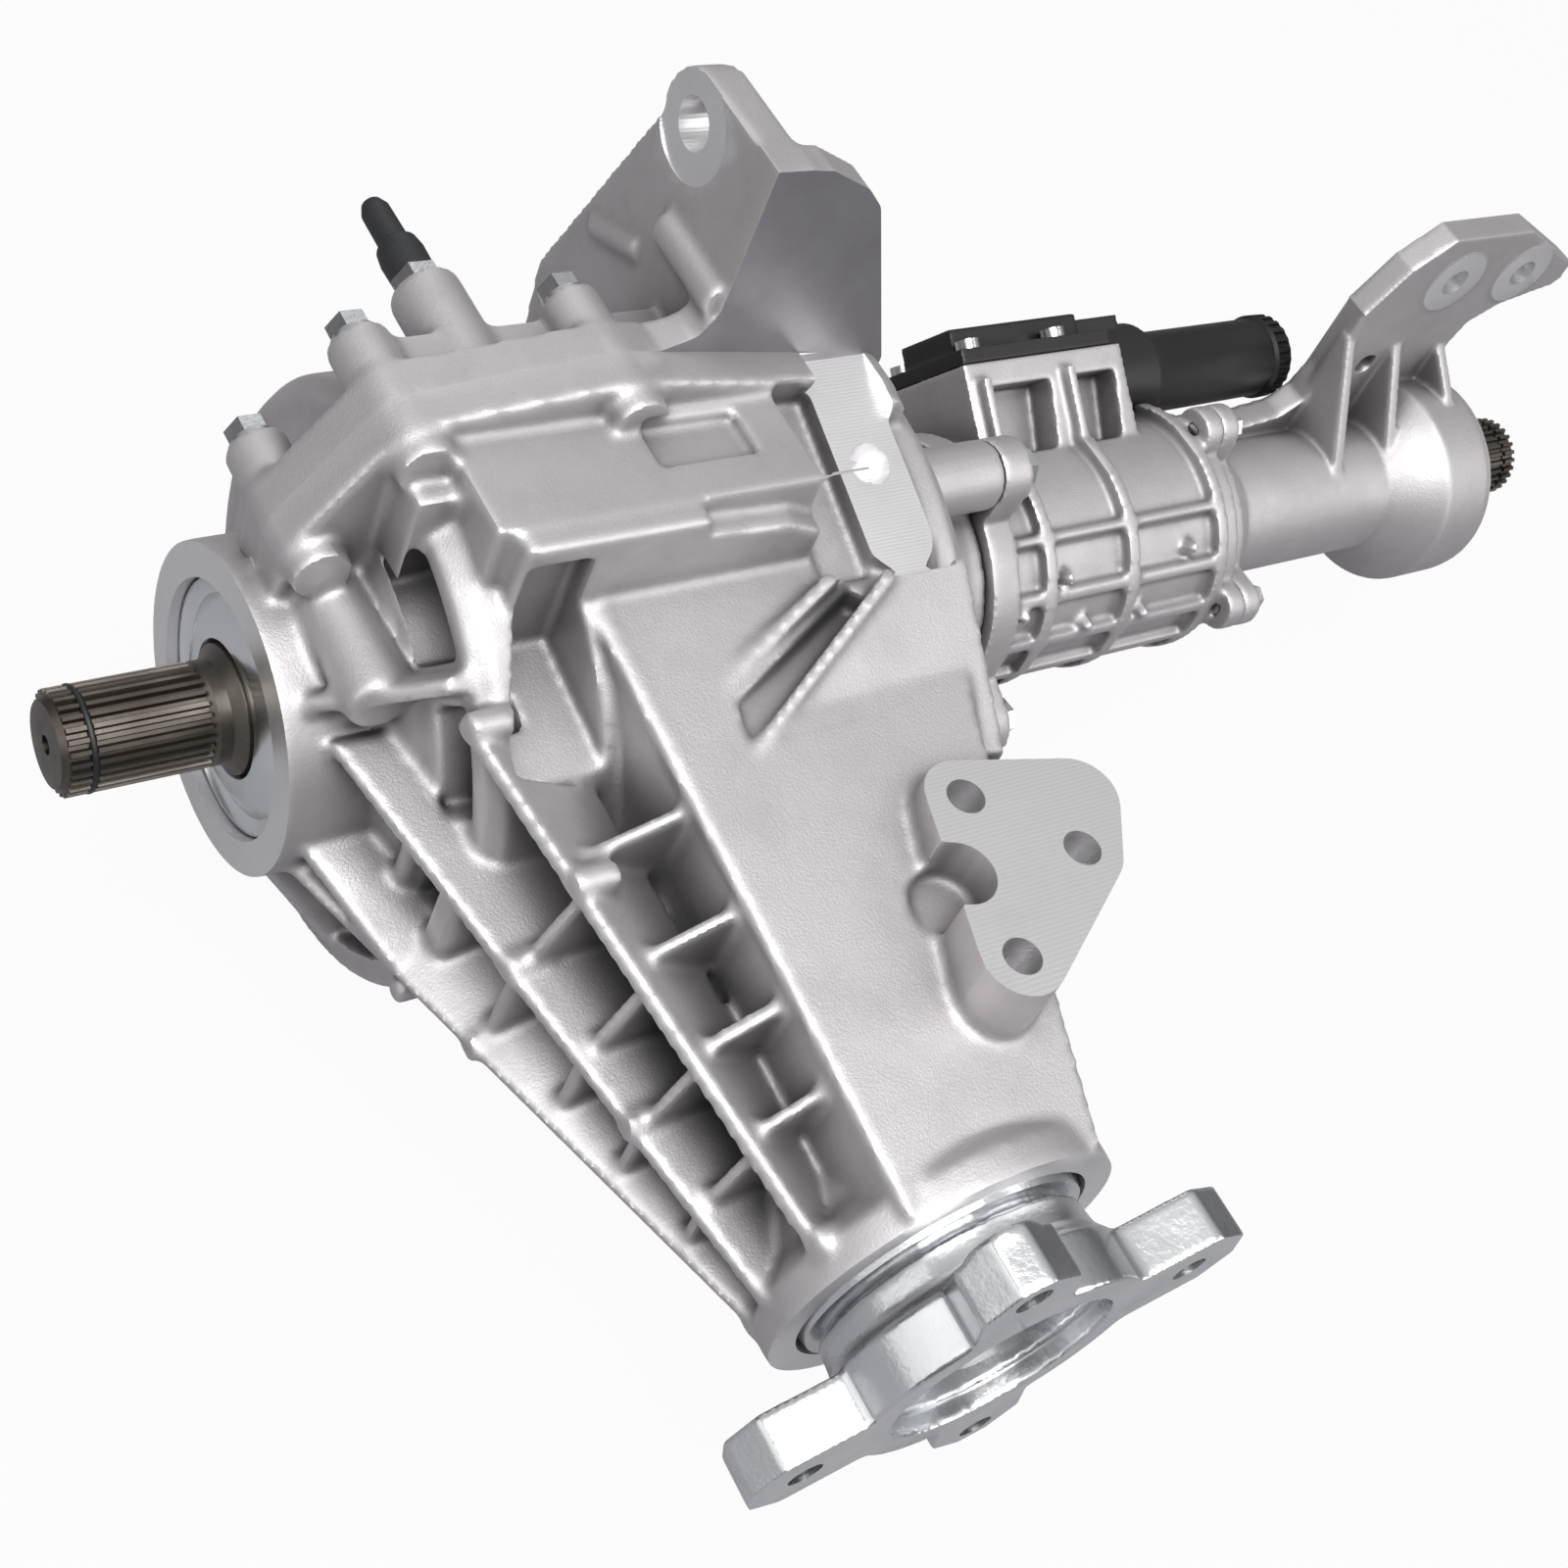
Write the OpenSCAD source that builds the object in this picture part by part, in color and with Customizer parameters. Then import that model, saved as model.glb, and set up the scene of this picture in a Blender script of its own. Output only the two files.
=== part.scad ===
// Front differential of a light truck: a cast housing with a hypoid-style gear set,
// a disconnect on the right-hand side and a long axle tube.
// X runs along the axle to the right, Y forward, Z up. The origin is the centre of the
// propeller-shaft flange face, and the axle line lies flange_reach in front of it.

/* [Axle line] */
// Distance from the flange face to the axle line
flange_reach = 270; // [255:1:290]
// Distance from the pinion line to the tip of the left stub shaft
left_tip = 175; // [165:1:190]
// Distance from the pinion line to the tip of the right output shaft
right_tip = 452; // [445:1:470]
// Outside diameter of the output splines
spline_d = 32; // [30:0.5:33]
// Teeth on each output spline
spline_teeth = 28; // [20:1:32]
// Length of the left output spline
spline_len = 44; // [36:1:48]

/* [Final drive] */
// Teeth on the ring gear
ring_teeth = 41; // [37:1:43]
// Teeth on the pinion
pinion_teeth = 11; // [10:1:12]
// Pitch diameter of the ring gear at its outer edge
ring_pitch_d = 164; // [158:1:166]
// Width of the ring gear's teeth along the pitch cone
ring_face = 24; // [20:1:25]
// Turn of a ring tooth from its outer to its inner end, in degrees
ring_spiral = 7; // [0:1:9]
// Share of the tooth pitch left as backlash
backlash = 0.12; // [0.1:0.01:0.2]
// Pressure angle of all bevel teeth, in degrees
pressure_angle = 22; // [20:0.5:25]

/* [Differential] */
// Teeth on each side gear
side_teeth = 16; // [16:2:18]
// Teeth on each spider gear
spider_teeth = 10; // [10:2:10]
// Outer cone distance of the side and spider gears
bevel_cone = 30; // [29:0.5:30]
// Face width of the side and spider gears
bevel_face = 10; // [8:1:10]
// Outside diameter of the differential case
case_d = 104; // [102:1:106]
// Diameter of the cross pin
cross_pin_d = 16; // [14:1:17]

/* [Main housing] */
// Outside diameter of the ring gear drum
drum_d = 188; // [184:1:192]
// Thickness of the cast walls
wall = 6; // [5:0.5:7]
// Plane of the joint between housing and cover, in front of the axle line
joint_y = 10; // [8:1:12]
// Left end of the drum
drum_left = 84; // [82:1:86]
// Right end of the drum
drum_right = 92; // [88:1:96]
// Distance from the pinion line to the left bore's rim
left_bore_reach = 124; // [120:1:128]
// Diameter of the left bore
left_bore_d = 80; // [76:1:82]
// Diameter of the boss around the left bore
left_boss_d = 102; // [98:1:104]
// Distance from the axle line to the nose rim
nose_reach = 237; // [232:1:240]
// Diameter of the nose bore
nose_bore_d = 94; // [90:1:96]
// Diameter of the nose rim
nose_d = 112; // [110:1:116]
// Height of the fan ribs' plate at the nose
plate_nose_z = 48; // [44:1:50]
// Height of the plate where it meets the top panel
plate_back_z = 84; // [80:1:88]
// Thickness of the ribs
rib_t = 5; // [4:0.5:6]

/* [Mounting points] */
// Height of the three-hole pad
pad_z = 78; // [74:1:82]
// Tapped hole diameter of the pad
pad_hole_d = 12; // [10:0.5:13]
// Diameter of the hole in the sloping boss
boss_hole_d = 14; // [12:0.5:15]
// Slope of the boss face, in degrees
boss_slope = 18; // [14:1:22]
// Height of the bracket ear's bore
ear_z = 165; // [160:1:168]
// Distance of the ear's bore in front of the axle line
ear_y = 51; // [48:1:54]
// Diameter of the ear's bore
ear_bore_d = 16; // [14:0.5:17]
// Thickness of the ear
ear_t = 13; // [11:1:16]
// Diameter of the tube bracket's two holes
bracket_hole_d = 12; // [10:0.5:13]
// Distance between the tube bracket's two holes
bracket_pitch = 40; // [38:1:44]

/* [Disconnect and tube] */
// Joint between the main housing and the disconnect housing
disc_left = 136; // [134:1:140]
// Joint between the disconnect housing and the tube
disc_right = 258; // [256:1:262]
// Diameter of the disconnect housing's barrel
disc_d = 84; // [80:1:88]
// Height of the disconnect housing's ribs
disc_rib_h = 5; // [4:0.5:6]
// Travel of the shift collar
shift_travel = 16; // [14:1:17]
// Outside diameter of the axle tube
tube_d = 52; // [50:1:56]
// Wall of the axle tube
tube_wall = 5; // [4:0.5:6]
// Diameter of the tube's bell end
bell_d = 84; // [80:1:88]
// Distance from the pinion line to the bell's face
bell_reach = 403; // [400:1:408]

/* [Propeller-shaft flange] */
// Diameter of the bolt circle
flange_pcd = 124; // [120:1:128]
// Diameter of the flange's bolt holes
flange_hole_d = 11; // [10:0.5:12]
// Diameter of the pilot bore
pilot_d = 71; // [68:1:72]
// Turn of the long ears from level, in degrees
flange_turn = 18.7; // [0:0.1:45]
// Thickness of the flange's arms
arm_t = 17; // [14:1:18]

/* [Hidden] */
$fn = 64;
fit = 0.05;
skin = 0.3;
eps = 0.01;
ring_angle = atan(ring_teeth / pinion_teeth);
pinion_angle = 90 - ring_angle;
ring_cone = ring_pitch_d / 2 / sin(ring_angle);
ring_module = ring_pitch_d / ring_teeth;
ring_add = 0.8 * ring_module;
ring_ded = 1.02 * ring_module;
ring_back_x = 42;
ring_bolt_r = 67;
side_angle = atan(side_teeth / spider_teeth);
spider_angle = 90 - side_angle;
bevel_module = 2 * bevel_cone * sin(side_angle) / side_teeth;
bevel_add = 0.8 * bevel_module;
bevel_ded = 1.02 * bevel_module;
tooth_sink = 0.4;
drum_r = drum_d / 2;
cavity_r = drum_r - wall;
case_r = case_d / 2;
case_sphere_r = 36;
case_face_x = 34;
washer_t = 1.5;
side_back_x = case_face_x - washer_t - 0.1;
side_hub_r = 20;
side_hub_x = 56;
hub_end_x = 88;
case_flange_r = 76;
case_flange_t = 10;
seat_r = 22.5;
cup_r = 38;
cup_w = 20;
cup_x = 66;
cap_r = 55;
cap_bolt_z = 45.5;
cap_seat_y = joint_y + 8;
inner_spline_r = 14;
shaft_r = 16;
spline_r = spline_d / 2;
stub_r = 20;
stub_end = 12;
inter_tip = 212;
clutch_r = 20;
clutch_teeth = 24;
clutch_x = [170, 198, 200, 200 + shift_travel];
pilot_r = 10;
collar_x = [176, 196];
collar_r = 29;
groove_r = 25;
groove_w = 6.6;
left_boss_r = left_boss_d / 2;
nose_r = nose_d / 2;
head_seat = 102;
head_w = 24;
head_cup_r = 38;
head_ri = 18;
tail_seat = 186;
tail_w = 18;
tail_cup_r = 33;
tail_ri = 15;
seal_step = nose_reach - 16;
flange_hub_r = 38;
flange_y = -flange_reach;
pilot_depth = 6;
nut_seat = 27;
disc_r = disc_d / 2;
tube_r = tube_d / 2;
bell_r = bell_d / 2;
neck_r = 44;
neck_bore = 22;
needle_x = [112, 130];
lug_r = 59;
lug_pad_r = 12;
lug_angles = [98, 201, 282, 340];
neck_len = 24;
lug_t = 12;
bolt_d = 8;
bolt_gap = 0.1;
cover_flange_t = 13;
cover_boss_end = 40;
flange_rim = 10;
// Fan ribs: outer and inner corners at the nose and at the drum
fan_nose = [[-52, -20], [-57, 0], [-50, 27], [-31, plate_nose_z]];
fan_drum = [[-117, -47, -20], [-112, -42, 32], [-90, -66, 66], [-44, -35, plate_back_z]];
fan_foot_nose = [[-30, -12], [-34, 0], [-30, 16], [-24, 24]];
fan_foot_drum = [[-70, -40, -12], [-66, -40, 20], [-60, -50, 40], [-40, -35, 50]];
// Stations of the cross ribs, and the share of the fan's radius that they span
cross_low_y = [-197, -171, -147, -118];
cross_top_y = [-193, -168, -140, -109];
cross_crest = 0.94;
cross_foot = 0.42;
// Round ejector pads on the ribs, by the centre of their left faces
eject_pads = [[-89.4, -68.4, 65.4], [-77.4, -117, 53.7], [-50.6, -225.6, 27.6], [-89.4, -118.3, 18.9],
    [-74.1, -170.3, 9.9], [-91, -119.4, -20], [-53, -225.3, -20]];
eject_r = 4.5;
eject_len = 14;
// Cover bolts, counter-clockwise seen from behind: the joint flange runs round them
cover_bolts_xz = [[-100, -58], [-60, -98], [6, -108], [68, -92], [102, -44], [103, 44], [74, 96],
    [-17, 110], [-83, 104], [-107, 67]];
panel_x = [-76, 50];
panel_z = 108;
ear_x = 13;
ear_head_r = 16;
web_t = 12;
breather_at = [-52, 61, 100];
fill_at = [14, 98, -20];
drain_at = [0, -30, -98];
// The pad's holes, each with its depth
pad_holes = [[36, -135, 24], [62, -161, 22], [22, -187, 26]];
side_boss = [-93, 0, 37];
side_boss_r = 13;
boss_x = 62;
boss_top_y = -2;
boss_len = 47;
boss_z = 102;
boss_r = 12.5;
boss_hole_depth = 12;
boss_foot_z = 79;
motor_dir = 33;
platform_x = [158, 232];
platform_r = 66;
platform_half = 28;
motor_r = 17;
motor_d = 57;
motor_end = 333;
disc_ribs = [161, 200, 244];
tube_flange_t = 8;
tube_lug_angles = [85, 175, 265, 355];
tube_lug_r = 46;
tube_bearing_r = 33;
journal_r = 18;
tube_shaft_r = 15;
inner_bearing = [disc_right - 20, disc_right - 3];
outer_bearing = [bell_reach - 25, bell_reach - 13];
bell_seal_r = 34;
bracket_y = [18, 29];
bracket_hole = [371.5, 92];
web_hole = [351.5, 51.5];
web_hole_r = 4.5;
// Gussets of the bracket: station, height on the plate, and the foot's place on the tube
bracket_gussets = [[332, 68, -12, 23], [363, 62, -10, 24], [392, 57, -4, 41]];

steel = "#5d6064";
bright = "#c9ccd0";
cast = "#b9b3ad";
rubber = "#1c1d1f";

// Everything below is drawn with the axle line through the origin; the whole part is
// then moved so that the flange face lies on the origin.
module on_axle() { translate([0, flange_reach, 0]) children(); }

// A cylinder, cone or ring along X or Y between two stations
module rod_x(a, b, r, r2 = undef) {
    translate([a, 0, 0]) rotate([0, 90, 0]) cylinder(h = b - a, r1 = r, r2 = is_undef(r2) ? r : r2);
}
module rod_y(a, b, r, r2 = undef) {
    translate([0, a, 0]) rotate([-90, 0, 0]) cylinder(h = b - a, r1 = r, r2 = is_undef(r2) ? r : r2);
}
module ring_x(a, b, ro, ri) {
    difference() { rod_x(a, b, ro); rod_x(a - 1, b + 1, ri); }
}
module ring_y(a, b, ro, ri) {
    difference() { rod_y(a, b, ro); rod_y(a - 1, b + 1, ri); }
}
// A profile of [station, radius] points turned about the X or Y axis
module turn_x(points) {
    rotate([0, 90, 0]) rotate_extrude() polygon([for (p = points) [p[1], p[0]]]);
}
module turn_y(points) {
    rotate([-90, 0, 0]) rotate_extrude() polygon([for (p = points) [p[1], p[0]]]);
}

// A hexagon-headed flanged bolt along +Z, its seat on z = 0
module bolt(d, length, head_h) {
    translate([0, 0, -length]) cylinder(h = length + 1, d = d);
    cylinder(h = 1.6, d = 1.9 * d);
    translate([0, 0, 1.6]) cylinder(h = head_h, d = 1.7 * d, $fn = 6);
}

// The outline of a spline; a matching hole is the same outline grown by a share of the pitch
function spline_points(n, tip, root, grow = 0) =
    [for (i = [0:n - 1]) for (k = [[-0.32 - grow, 0], [-0.18 - grow, 1], [0.18 + grow, 1], [0.32 + grow, 0]])
        let (a = 360 / n * (i + k[0]), r = k[1] == 1 ? tip : root) [r * cos(a), r * sin(a)]];
module spline_x(a, b, n, tip, root, grow = 0) {
    translate([a, 0, 0]) rotate([0, 90, 0]) linear_extrude(b - a) polygon(spline_points(n, tip, root, grow));
}
module spline_hole_x(a, b, n, tip, root) { spline_x(a, b, n, tip + 2 * fit, root + 2 * fit, 0.04); }

// A bevel gear about +Z with its cone apex on the origin. Each tooth is a ladder of
// equal profiles that shrink towards the apex and turn with the spiral.
function cone_point(cone, angle, share, rise, turn) =
    let (r = share * (cone * sin(angle) + rise * cos(angle)))
    [r * cos(turn), r * sin(turn), share * (cone * cos(angle) - rise * sin(angle))];
function tooth_profile(pitch_deg, add, ded, slack, lean) =
    let (half = pitch_deg * (0.25 - slack / 4))
    [[-half - lean * ded, -ded], [-half, 0], [-half + lean * add, add],
     [half - lean * add, add], [half, 0], [half + lean * ded, -ded]];
module bevel_tooth(cone, face, angle, n, add, ded, spiral, steps) {
    lean = tan(pressure_angle) * 180 / PI / (cone * sin(angle));
    profile = tooth_profile(360 / n, add, ded, backlash, lean);
    count = len(profile);
    points = [for (s = [0:steps]) let (share = 1 - s / steps * face / cone)
        for (p = profile) cone_point(cone, angle, share, p[1], p[0] + spiral * s / steps)];
    sides = [for (s = [0:steps - 1]) for (i = [0:count - 1]) let (j = (i + 1) % count)
        [s * count + i, s * count + j, (s + 1) * count + j, (s + 1) * count + i]];
    near = [for (i = [count - 1:-1:0]) i];
    far = [for (i = [0:count - 1]) steps * count + i];
    polyhedron(points = points, faces = concat([near], sides, [far]), convexity = 4);
}
module bevel_teeth(cone, face, angle, n, add, ded, spiral = 0, steps = 1) {
    for (i = [0:n - 1]) rotate([0, 0, 360 / n * i]) bevel_tooth(cone, face, angle, n, add, ded, spiral, steps);
}
// The two ends of the root line, as [radius, height], and the blank under the teeth
function root_end(cone, angle, share, ded) = let (p = cone_point(cone, angle, share, tooth_sink - ded, 0)) [p[0], p[2]];
function gear_root(cone, face, angle, ded) = [root_end(cone, angle, 1, ded), root_end(cone, angle, 1 - face / cone, ded)];

// Main housing
function plate_z(y) = plate_nose_z + (plate_back_z - plate_nose_z) * (y + nose_reach) / (nose_reach - 35);
// A straight rib between two outer points, with its foot on two inner points
module fin(a, b, ia, foot, t = rib_t) {
    n = cross(b - a, ia - a) / norm(cross(b - a, ia - a));
    h = n * t / 2;
    ib = foot - n * (n * (foot - a));
    polyhedron(points = [a - h, b - h, ib - h, ia - h, a + h, b + h, ib + h, ia + h],
        faces = [[0, 1, 2, 3], [7, 6, 5, 4], [4, 5, 1, 0], [5, 6, 2, 1], [6, 7, 3, 2], [7, 4, 0, 3]]);
}
module fan_ribs() {
    for (i = [0:3]) {
        a = [fan_nose[i][0], -nose_reach + 9, fan_nose[i][1]];
        ia = [fan_foot_nose[i][0], -nose_reach + 9, fan_foot_nose[i][1]];
        fin(a, fan_drum[i], ia, fan_foot_drum[i]);
    }
}
// The point of a fan rib's outer edge at station y, and a cross rib between two fan ribs
function fan_point(i, y) = let (share = (y + nose_reach - 9) / (fan_drum[i][1] + nose_reach - 9))
    [fan_nose[i][0] + (fan_drum[i][0] - fan_nose[i][0]) * share, y,
     fan_nose[i][1] + (fan_drum[i][2] - fan_nose[i][1]) * share];
function towards_pinion(p, share) = [p[0] * share, p[1], p[2] * share];
module cross_rib(i, y) {
    a = fan_point(i, y);
    b = fan_point(i + 1, y);
    fin(towards_pinion(a, cross_crest), towards_pinion(b, cross_crest),
        towards_pinion(a, cross_foot), towards_pinion(b, cross_foot), rib_t - 1);
}
module cross_ribs() {
    for (i = [0, 1]) for (y = cross_low_y) cross_rib(i, y);
    for (y = cross_top_y) cross_rib(2, y);
}
module nose_shell() {
    turn_y([[-nose_reach, 0], [-nose_reach, nose_r - 2], [-nose_reach + 2, nose_r],
        [-nose_reach + 10, nose_r], [-nose_reach + 19, nose_r - 9], [-200, 41], [-135, 44], [-98, 48], [-40, 70], [-20, 0]]);
}
module drum_solid() {
    turn_x([[-left_bore_reach, 0], [-left_bore_reach, left_boss_r - 2], [-left_bore_reach + 2, left_boss_r],
        [-drum_left - 4, left_boss_r], [-drum_left, left_boss_r + 8],
        [-drum_left, drum_r - 4], [-drum_left + 6, drum_r],
        [drum_right - 6, drum_r], [drum_right, drum_r - 6],
        [drum_right + 10, neck_r + 12], [drum_right + neck_len, neck_r], [disc_left, neck_r], [disc_left, 0]]);
}
module top_plate() {
    intersection() {
        translate([-60, 0, 0]) rotate([90, 0, 90]) linear_extrude(140)
            polygon([[-nose_reach + 2, plate_z(-nose_reach)], [-35, plate_z(-35)], [-35, 0], [-nose_reach + 2, 0]]);
        linear_extrude(plate_back_z + 1)
            polygon([[-33, -nose_reach + 2], [34, -nose_reach + 2], [62, -110], [80, -35], [-44, -35]]);
    }
}
module top_panel() {
    translate([panel_x[0], -38, 20]) cube([panel_x[1] - panel_x[0], 38 + joint_y, panel_z - 20]);
}
// A convex outline, given counter-clockwise, with a round of radius r about each point
function rounded(points, r, steps = 4) = let (n = len(points)) [for (i = [0:n - 1])
    let (a = points[(i + n - 1) % n], b = points[i], c = points[(i + 1) % n],
        from = atan2(b[1] - a[1], b[0] - a[0]) - 90, to = atan2(c[1] - b[1], c[0] - b[0]) - 90,
        sweep = (to - from + 720) % 360)
    for (k = [0:steps]) let (t = from + sweep * k / steps) [b[0] + r * cos(t), b[1] + r * sin(t)]];
module joint_flange(y, thick) {
    translate([0, y + thick, 0]) rotate([90, 0, 0]) linear_extrude(thick) polygon(rounded(cover_bolts_xz, flange_rim));
}
module sloping_boss() {
    translate([boss_x, boss_top_y, boss_z]) rotate([boss_slope, 0, 0]) translate([0, 0, -70]) {
        cylinder(h = 70, r = boss_r);
        translate([0, -boss_len, 0]) cylinder(h = 70, r = boss_r);
        translate([-boss_r, -boss_len, 0]) cube([2 * boss_r, boss_len, 70]);
    }
}
module boss_gussets() {
    fin([54, -46, 84], [-10, -70, 70], [54, -46, 40], [-10, -70, 40]);
    fin([58, -58, 82], [-22, -100, 66], [58, -58, 40], [-22, -100, 40]);
}
module three_hole_pad() {
    translate([0, 0, 20]) linear_extrude(pad_z - 20) difference() {
        polygon(rounded([pad_holes[2], pad_holes[1], [73, -144], pad_holes[0]], 13, 8));
        translate([20, -158]) circle(r = 11);
    }
}
module at_angles(angles) { for (a = angles) rotate([a, 0, 0]) children(); }
module at_bolts(y) { for (b = cover_bolts_xz) translate([b[0], y, b[1]]) children(); }
module main_housing() {
    color(cast) difference() {
        union() {
            difference() {
                union() {
                    drum_solid();
                    sloping_boss();
                }
                translate([-left_bore_reach - 1, joint_y, -150]) cube([left_bore_reach + drum_right + neck_len + 1, 150, 300]);
            }
            rod_x(-left_bore_reach + 2, -left_bore_reach + 30, left_boss_r);
            rod_x(-left_bore_reach, -left_bore_reach + 3, left_boss_r - 2);
            rod_x(drum_right + neck_len, disc_left, neck_r);
            difference() {
                joint_flange(joint_y - cover_flange_t, cover_flange_t);
                rod_x(-left_bore_reach, -drum_left - 20, left_boss_r - 1);
            }
            at_bolts(-10) rod_y(0, 10, flange_rim - 1);
            nose_shell();
            top_plate();
            top_panel();
            three_hole_pad();
            fan_ribs();
            cross_ribs();
            for (p = eject_pads) translate(p) rod_x(0, eject_len, eject_r);
            boss_gussets();
            for (a = lug_angles) rotate([a, 0, 0]) let (start = drum_right + (cos(a) > 0 ? neck_len + skin : -1)) {
                translate([0, lug_r, 0]) rod_x(start, disc_left, lug_pad_r);
                translate([start, neck_bore + 2, -rib_t]) cube([disc_left - start, lug_r - neck_bore, 2 * rib_t]);
            }
            translate(drain_at) cylinder(h = 30, r = 15);
            translate(side_boss) rod_y(-38, joint_y - 1, side_boss_r);
        }
        difference() {
            rod_x(-drum_left + wall, drum_right - wall, cavity_r);
            for (x = [-cup_x - 1 - drum_right, cup_x + 1])
                translate([x, -cavity_r, -cap_r]) cube([drum_right, cavity_r + joint_y, 2 * cap_r]);
            translate([boss_x - boss_r, -cavity_r, boss_foot_z]) cube([2 * boss_r, 2 * cavity_r, cavity_r]);
        }
        rod_x(-left_bore_reach - 1, -left_bore_reach + 20, left_bore_d / 2);
        rod_x(-left_bore_reach + 10, -cup_x - cup_w + 1, cup_r - 6);
        rod_x(-cup_x - cup_w, -cup_x, cup_r);
        rod_x(cup_x, cup_x + cup_w, cup_r);
        rod_x(cup_x, hub_end_x + 1, seat_r + 2);
        rod_x(cup_x, disc_left + 1, neck_bore);
        rod_y(-nose_reach - 1, -seal_step, nose_bore_d / 2);
        rod_y(-nose_reach, -tail_seat, tail_cup_r);
        rod_y(-tail_seat - 1, -head_seat - 6, tail_cup_r - 5);
        rod_y(-head_seat - head_w, -40, head_cup_r);
        at_bolts(0) rod_y(-7, joint_y + 1, bolt_d / 2 + bolt_gap);
        for (x = [-cup_x - cup_w / 2, cup_x + cup_w / 2]) for (s = [-1, 1])
            translate([x, 0, s * cap_bolt_z]) rod_y(-22, joint_y + 1, 5 + bolt_gap);
        at_angles(lug_angles) translate([0, lug_r, 0]) rod_x(disc_left - 20, disc_left + 1, bolt_d / 2 + bolt_gap);
        for (p = pad_holes) translate([p[0], p[1], pad_z - p[2]]) cylinder(h = p[2] + 1, d = pad_hole_d);
        translate([boss_x, boss_top_y, boss_z]) rotate([boss_slope, 0, 0])
            translate([0, -boss_len / 2, -boss_hole_depth]) cylinder(h = boss_hole_depth + 2, d = boss_hole_d);
        translate(drain_at) translate([0, 0, -1]) cylinder(h = 22, r = 9 + bolt_gap);
    }
}
module bearing_caps() {
    color(cast) for (x = [-cup_x - cup_w / 2, cup_x + cup_w / 2]) difference() {
        rod_x(x - cup_w / 2 + 1, x + cup_w / 2 - 1, cap_r);
        rod_x(x - cup_w, x + cup_w, cup_r);
        translate([x - cup_w, -cap_r - 1, -cap_r - 1]) cube([2 * cup_w, cap_r + 1 + joint_y, 2 * cap_r + 2]);
        for (s = [-1, 1]) translate([x, 0, s * cap_bolt_z]) {
            rod_y(0, cap_r, 5 + bolt_gap);
            translate([-cup_w, cap_seat_y, s > 0 ? -11 : -20]) cube([2 * cup_w, cap_r, 31]);
        }
    }
}
module cap_bolts() {
    color(bright) for (x = [-cup_x - cup_w / 2, cup_x + cup_w / 2]) for (s = [-1, 1])
        translate([x, cap_seat_y, s * cap_bolt_z]) rotate([-90, 0, 0]) bolt(10, 36, 6);
}

// Front cover
module bracket_ear() {
    translate([ear_x, 0, 0]) rotate([90, 0, 90]) linear_extrude(ear_t) {
        translate([ear_y, ear_z]) circle(r = ear_head_r);
        polygon([[joint_y, ear_z + ear_head_r + 1], [ear_y, ear_z + ear_head_r], [ear_y + 14.5, ear_z - 6.5],
            [99, 71], [95, 40], [joint_y, 40]]);
    }
}
module bracket_web() {
    translate([0, joint_y + web_t, 0]) rotate([90, 0, 0]) linear_extrude(web_t)
        polygon([[13, 182], [32, 181], [48, 173], [55, 166], [84, 102], [60, 60], [0, 60], [-8, 108],
            [-7, 117], [8, 122], [13, 131]]);
}
module front_cover() {
    color(cast) difference() {
        union() {
            intersection() {
                drum_solid();
                translate([-left_bore_reach, joint_y, -150]) cube([drum_right + neck_len + left_bore_reach, 300, 300]);
            }
            joint_flange(joint_y, cover_flange_t);
            translate([panel_x[0], joint_y, 60]) cube([panel_x[1] - panel_x[0], 28, panel_z - 60]);
            bracket_ear();
            bracket_web();
            at_bolts(joint_y) rotate([0, 40, 0]) rod_y(0, cover_boss_end - joint_y, flange_rim - 0.5);
            translate([breather_at[0], joint_y, breather_at[2]]) rod_y(0, breather_at[1] - joint_y, 11);
            translate([fill_at[0], 60, fill_at[2]]) rod_y(0, fill_at[1] - 60, 17);
        }
        rod_x(-drum_left + wall, drum_right - wall, cavity_r);
        rod_x(-left_bore_reach - 1, -left_bore_reach + 31, left_boss_r + skin);
        rod_x(-cup_x - cup_w - 2, -cup_x + 3, cap_r + 6);
        rod_x(-left_bore_reach, -cup_x, cup_r - 6);
        rod_x(0, hub_end_x + 1, seat_r + 2);
        rod_x(0, drum_right + neck_len + 1, neck_bore);
        translate([ear_x - 1, ear_y, ear_z]) rod_x(0, ear_t + 2, ear_bore_d / 2);
        translate([breather_at[0], 0, breather_at[2]]) rod_y(joint_y + 12, breather_at[1] + 1, 5 + bolt_gap);
        translate([fill_at[0], 0, fill_at[2]]) rod_y(70, fill_at[1] + 1, 10 + bolt_gap);
        at_bolts(0) rod_y(joint_y - 1, cover_boss_end + 1, bolt_d / 2 + bolt_gap);
        at_bolts(cover_boss_end) rod_y(0, 30, bolt_d + 0.6);
    }
}
module cover_bolts() { color(bright) at_bolts(cover_boss_end) rotate([-90, 0, 0]) bolt(bolt_d, cover_boss_end + 6, 6); }
module breather_nipple() {
    color(bright) translate([breather_at[0], 0, breather_at[2]]) difference() {
        union() {
            rod_y(joint_y + 14, breather_at[1] + 1, 5);
            translate([0, breather_at[1], 0]) rotate([-90, 0, 0]) cylinder(h = 6, d = 16, $fn = 6);
            rod_y(breather_at[1] + 5, breather_at[1] + 16, 4);
        }
        rod_y(joint_y + 13, breather_at[1] + 17, 1.5);
    }
}
module breather_cap() {
    color(rubber) translate([breather_at[0], breather_at[1] + 6.2, breather_at[2]]) turn_y([[0, 4.1], [0, 7], [9, 7.2],
        [13, 6.6], [15, 4.8], [29, 4.6], [32, 3.4], [33, 0], [11, 0], [11, 4.1]]);
}
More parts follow.
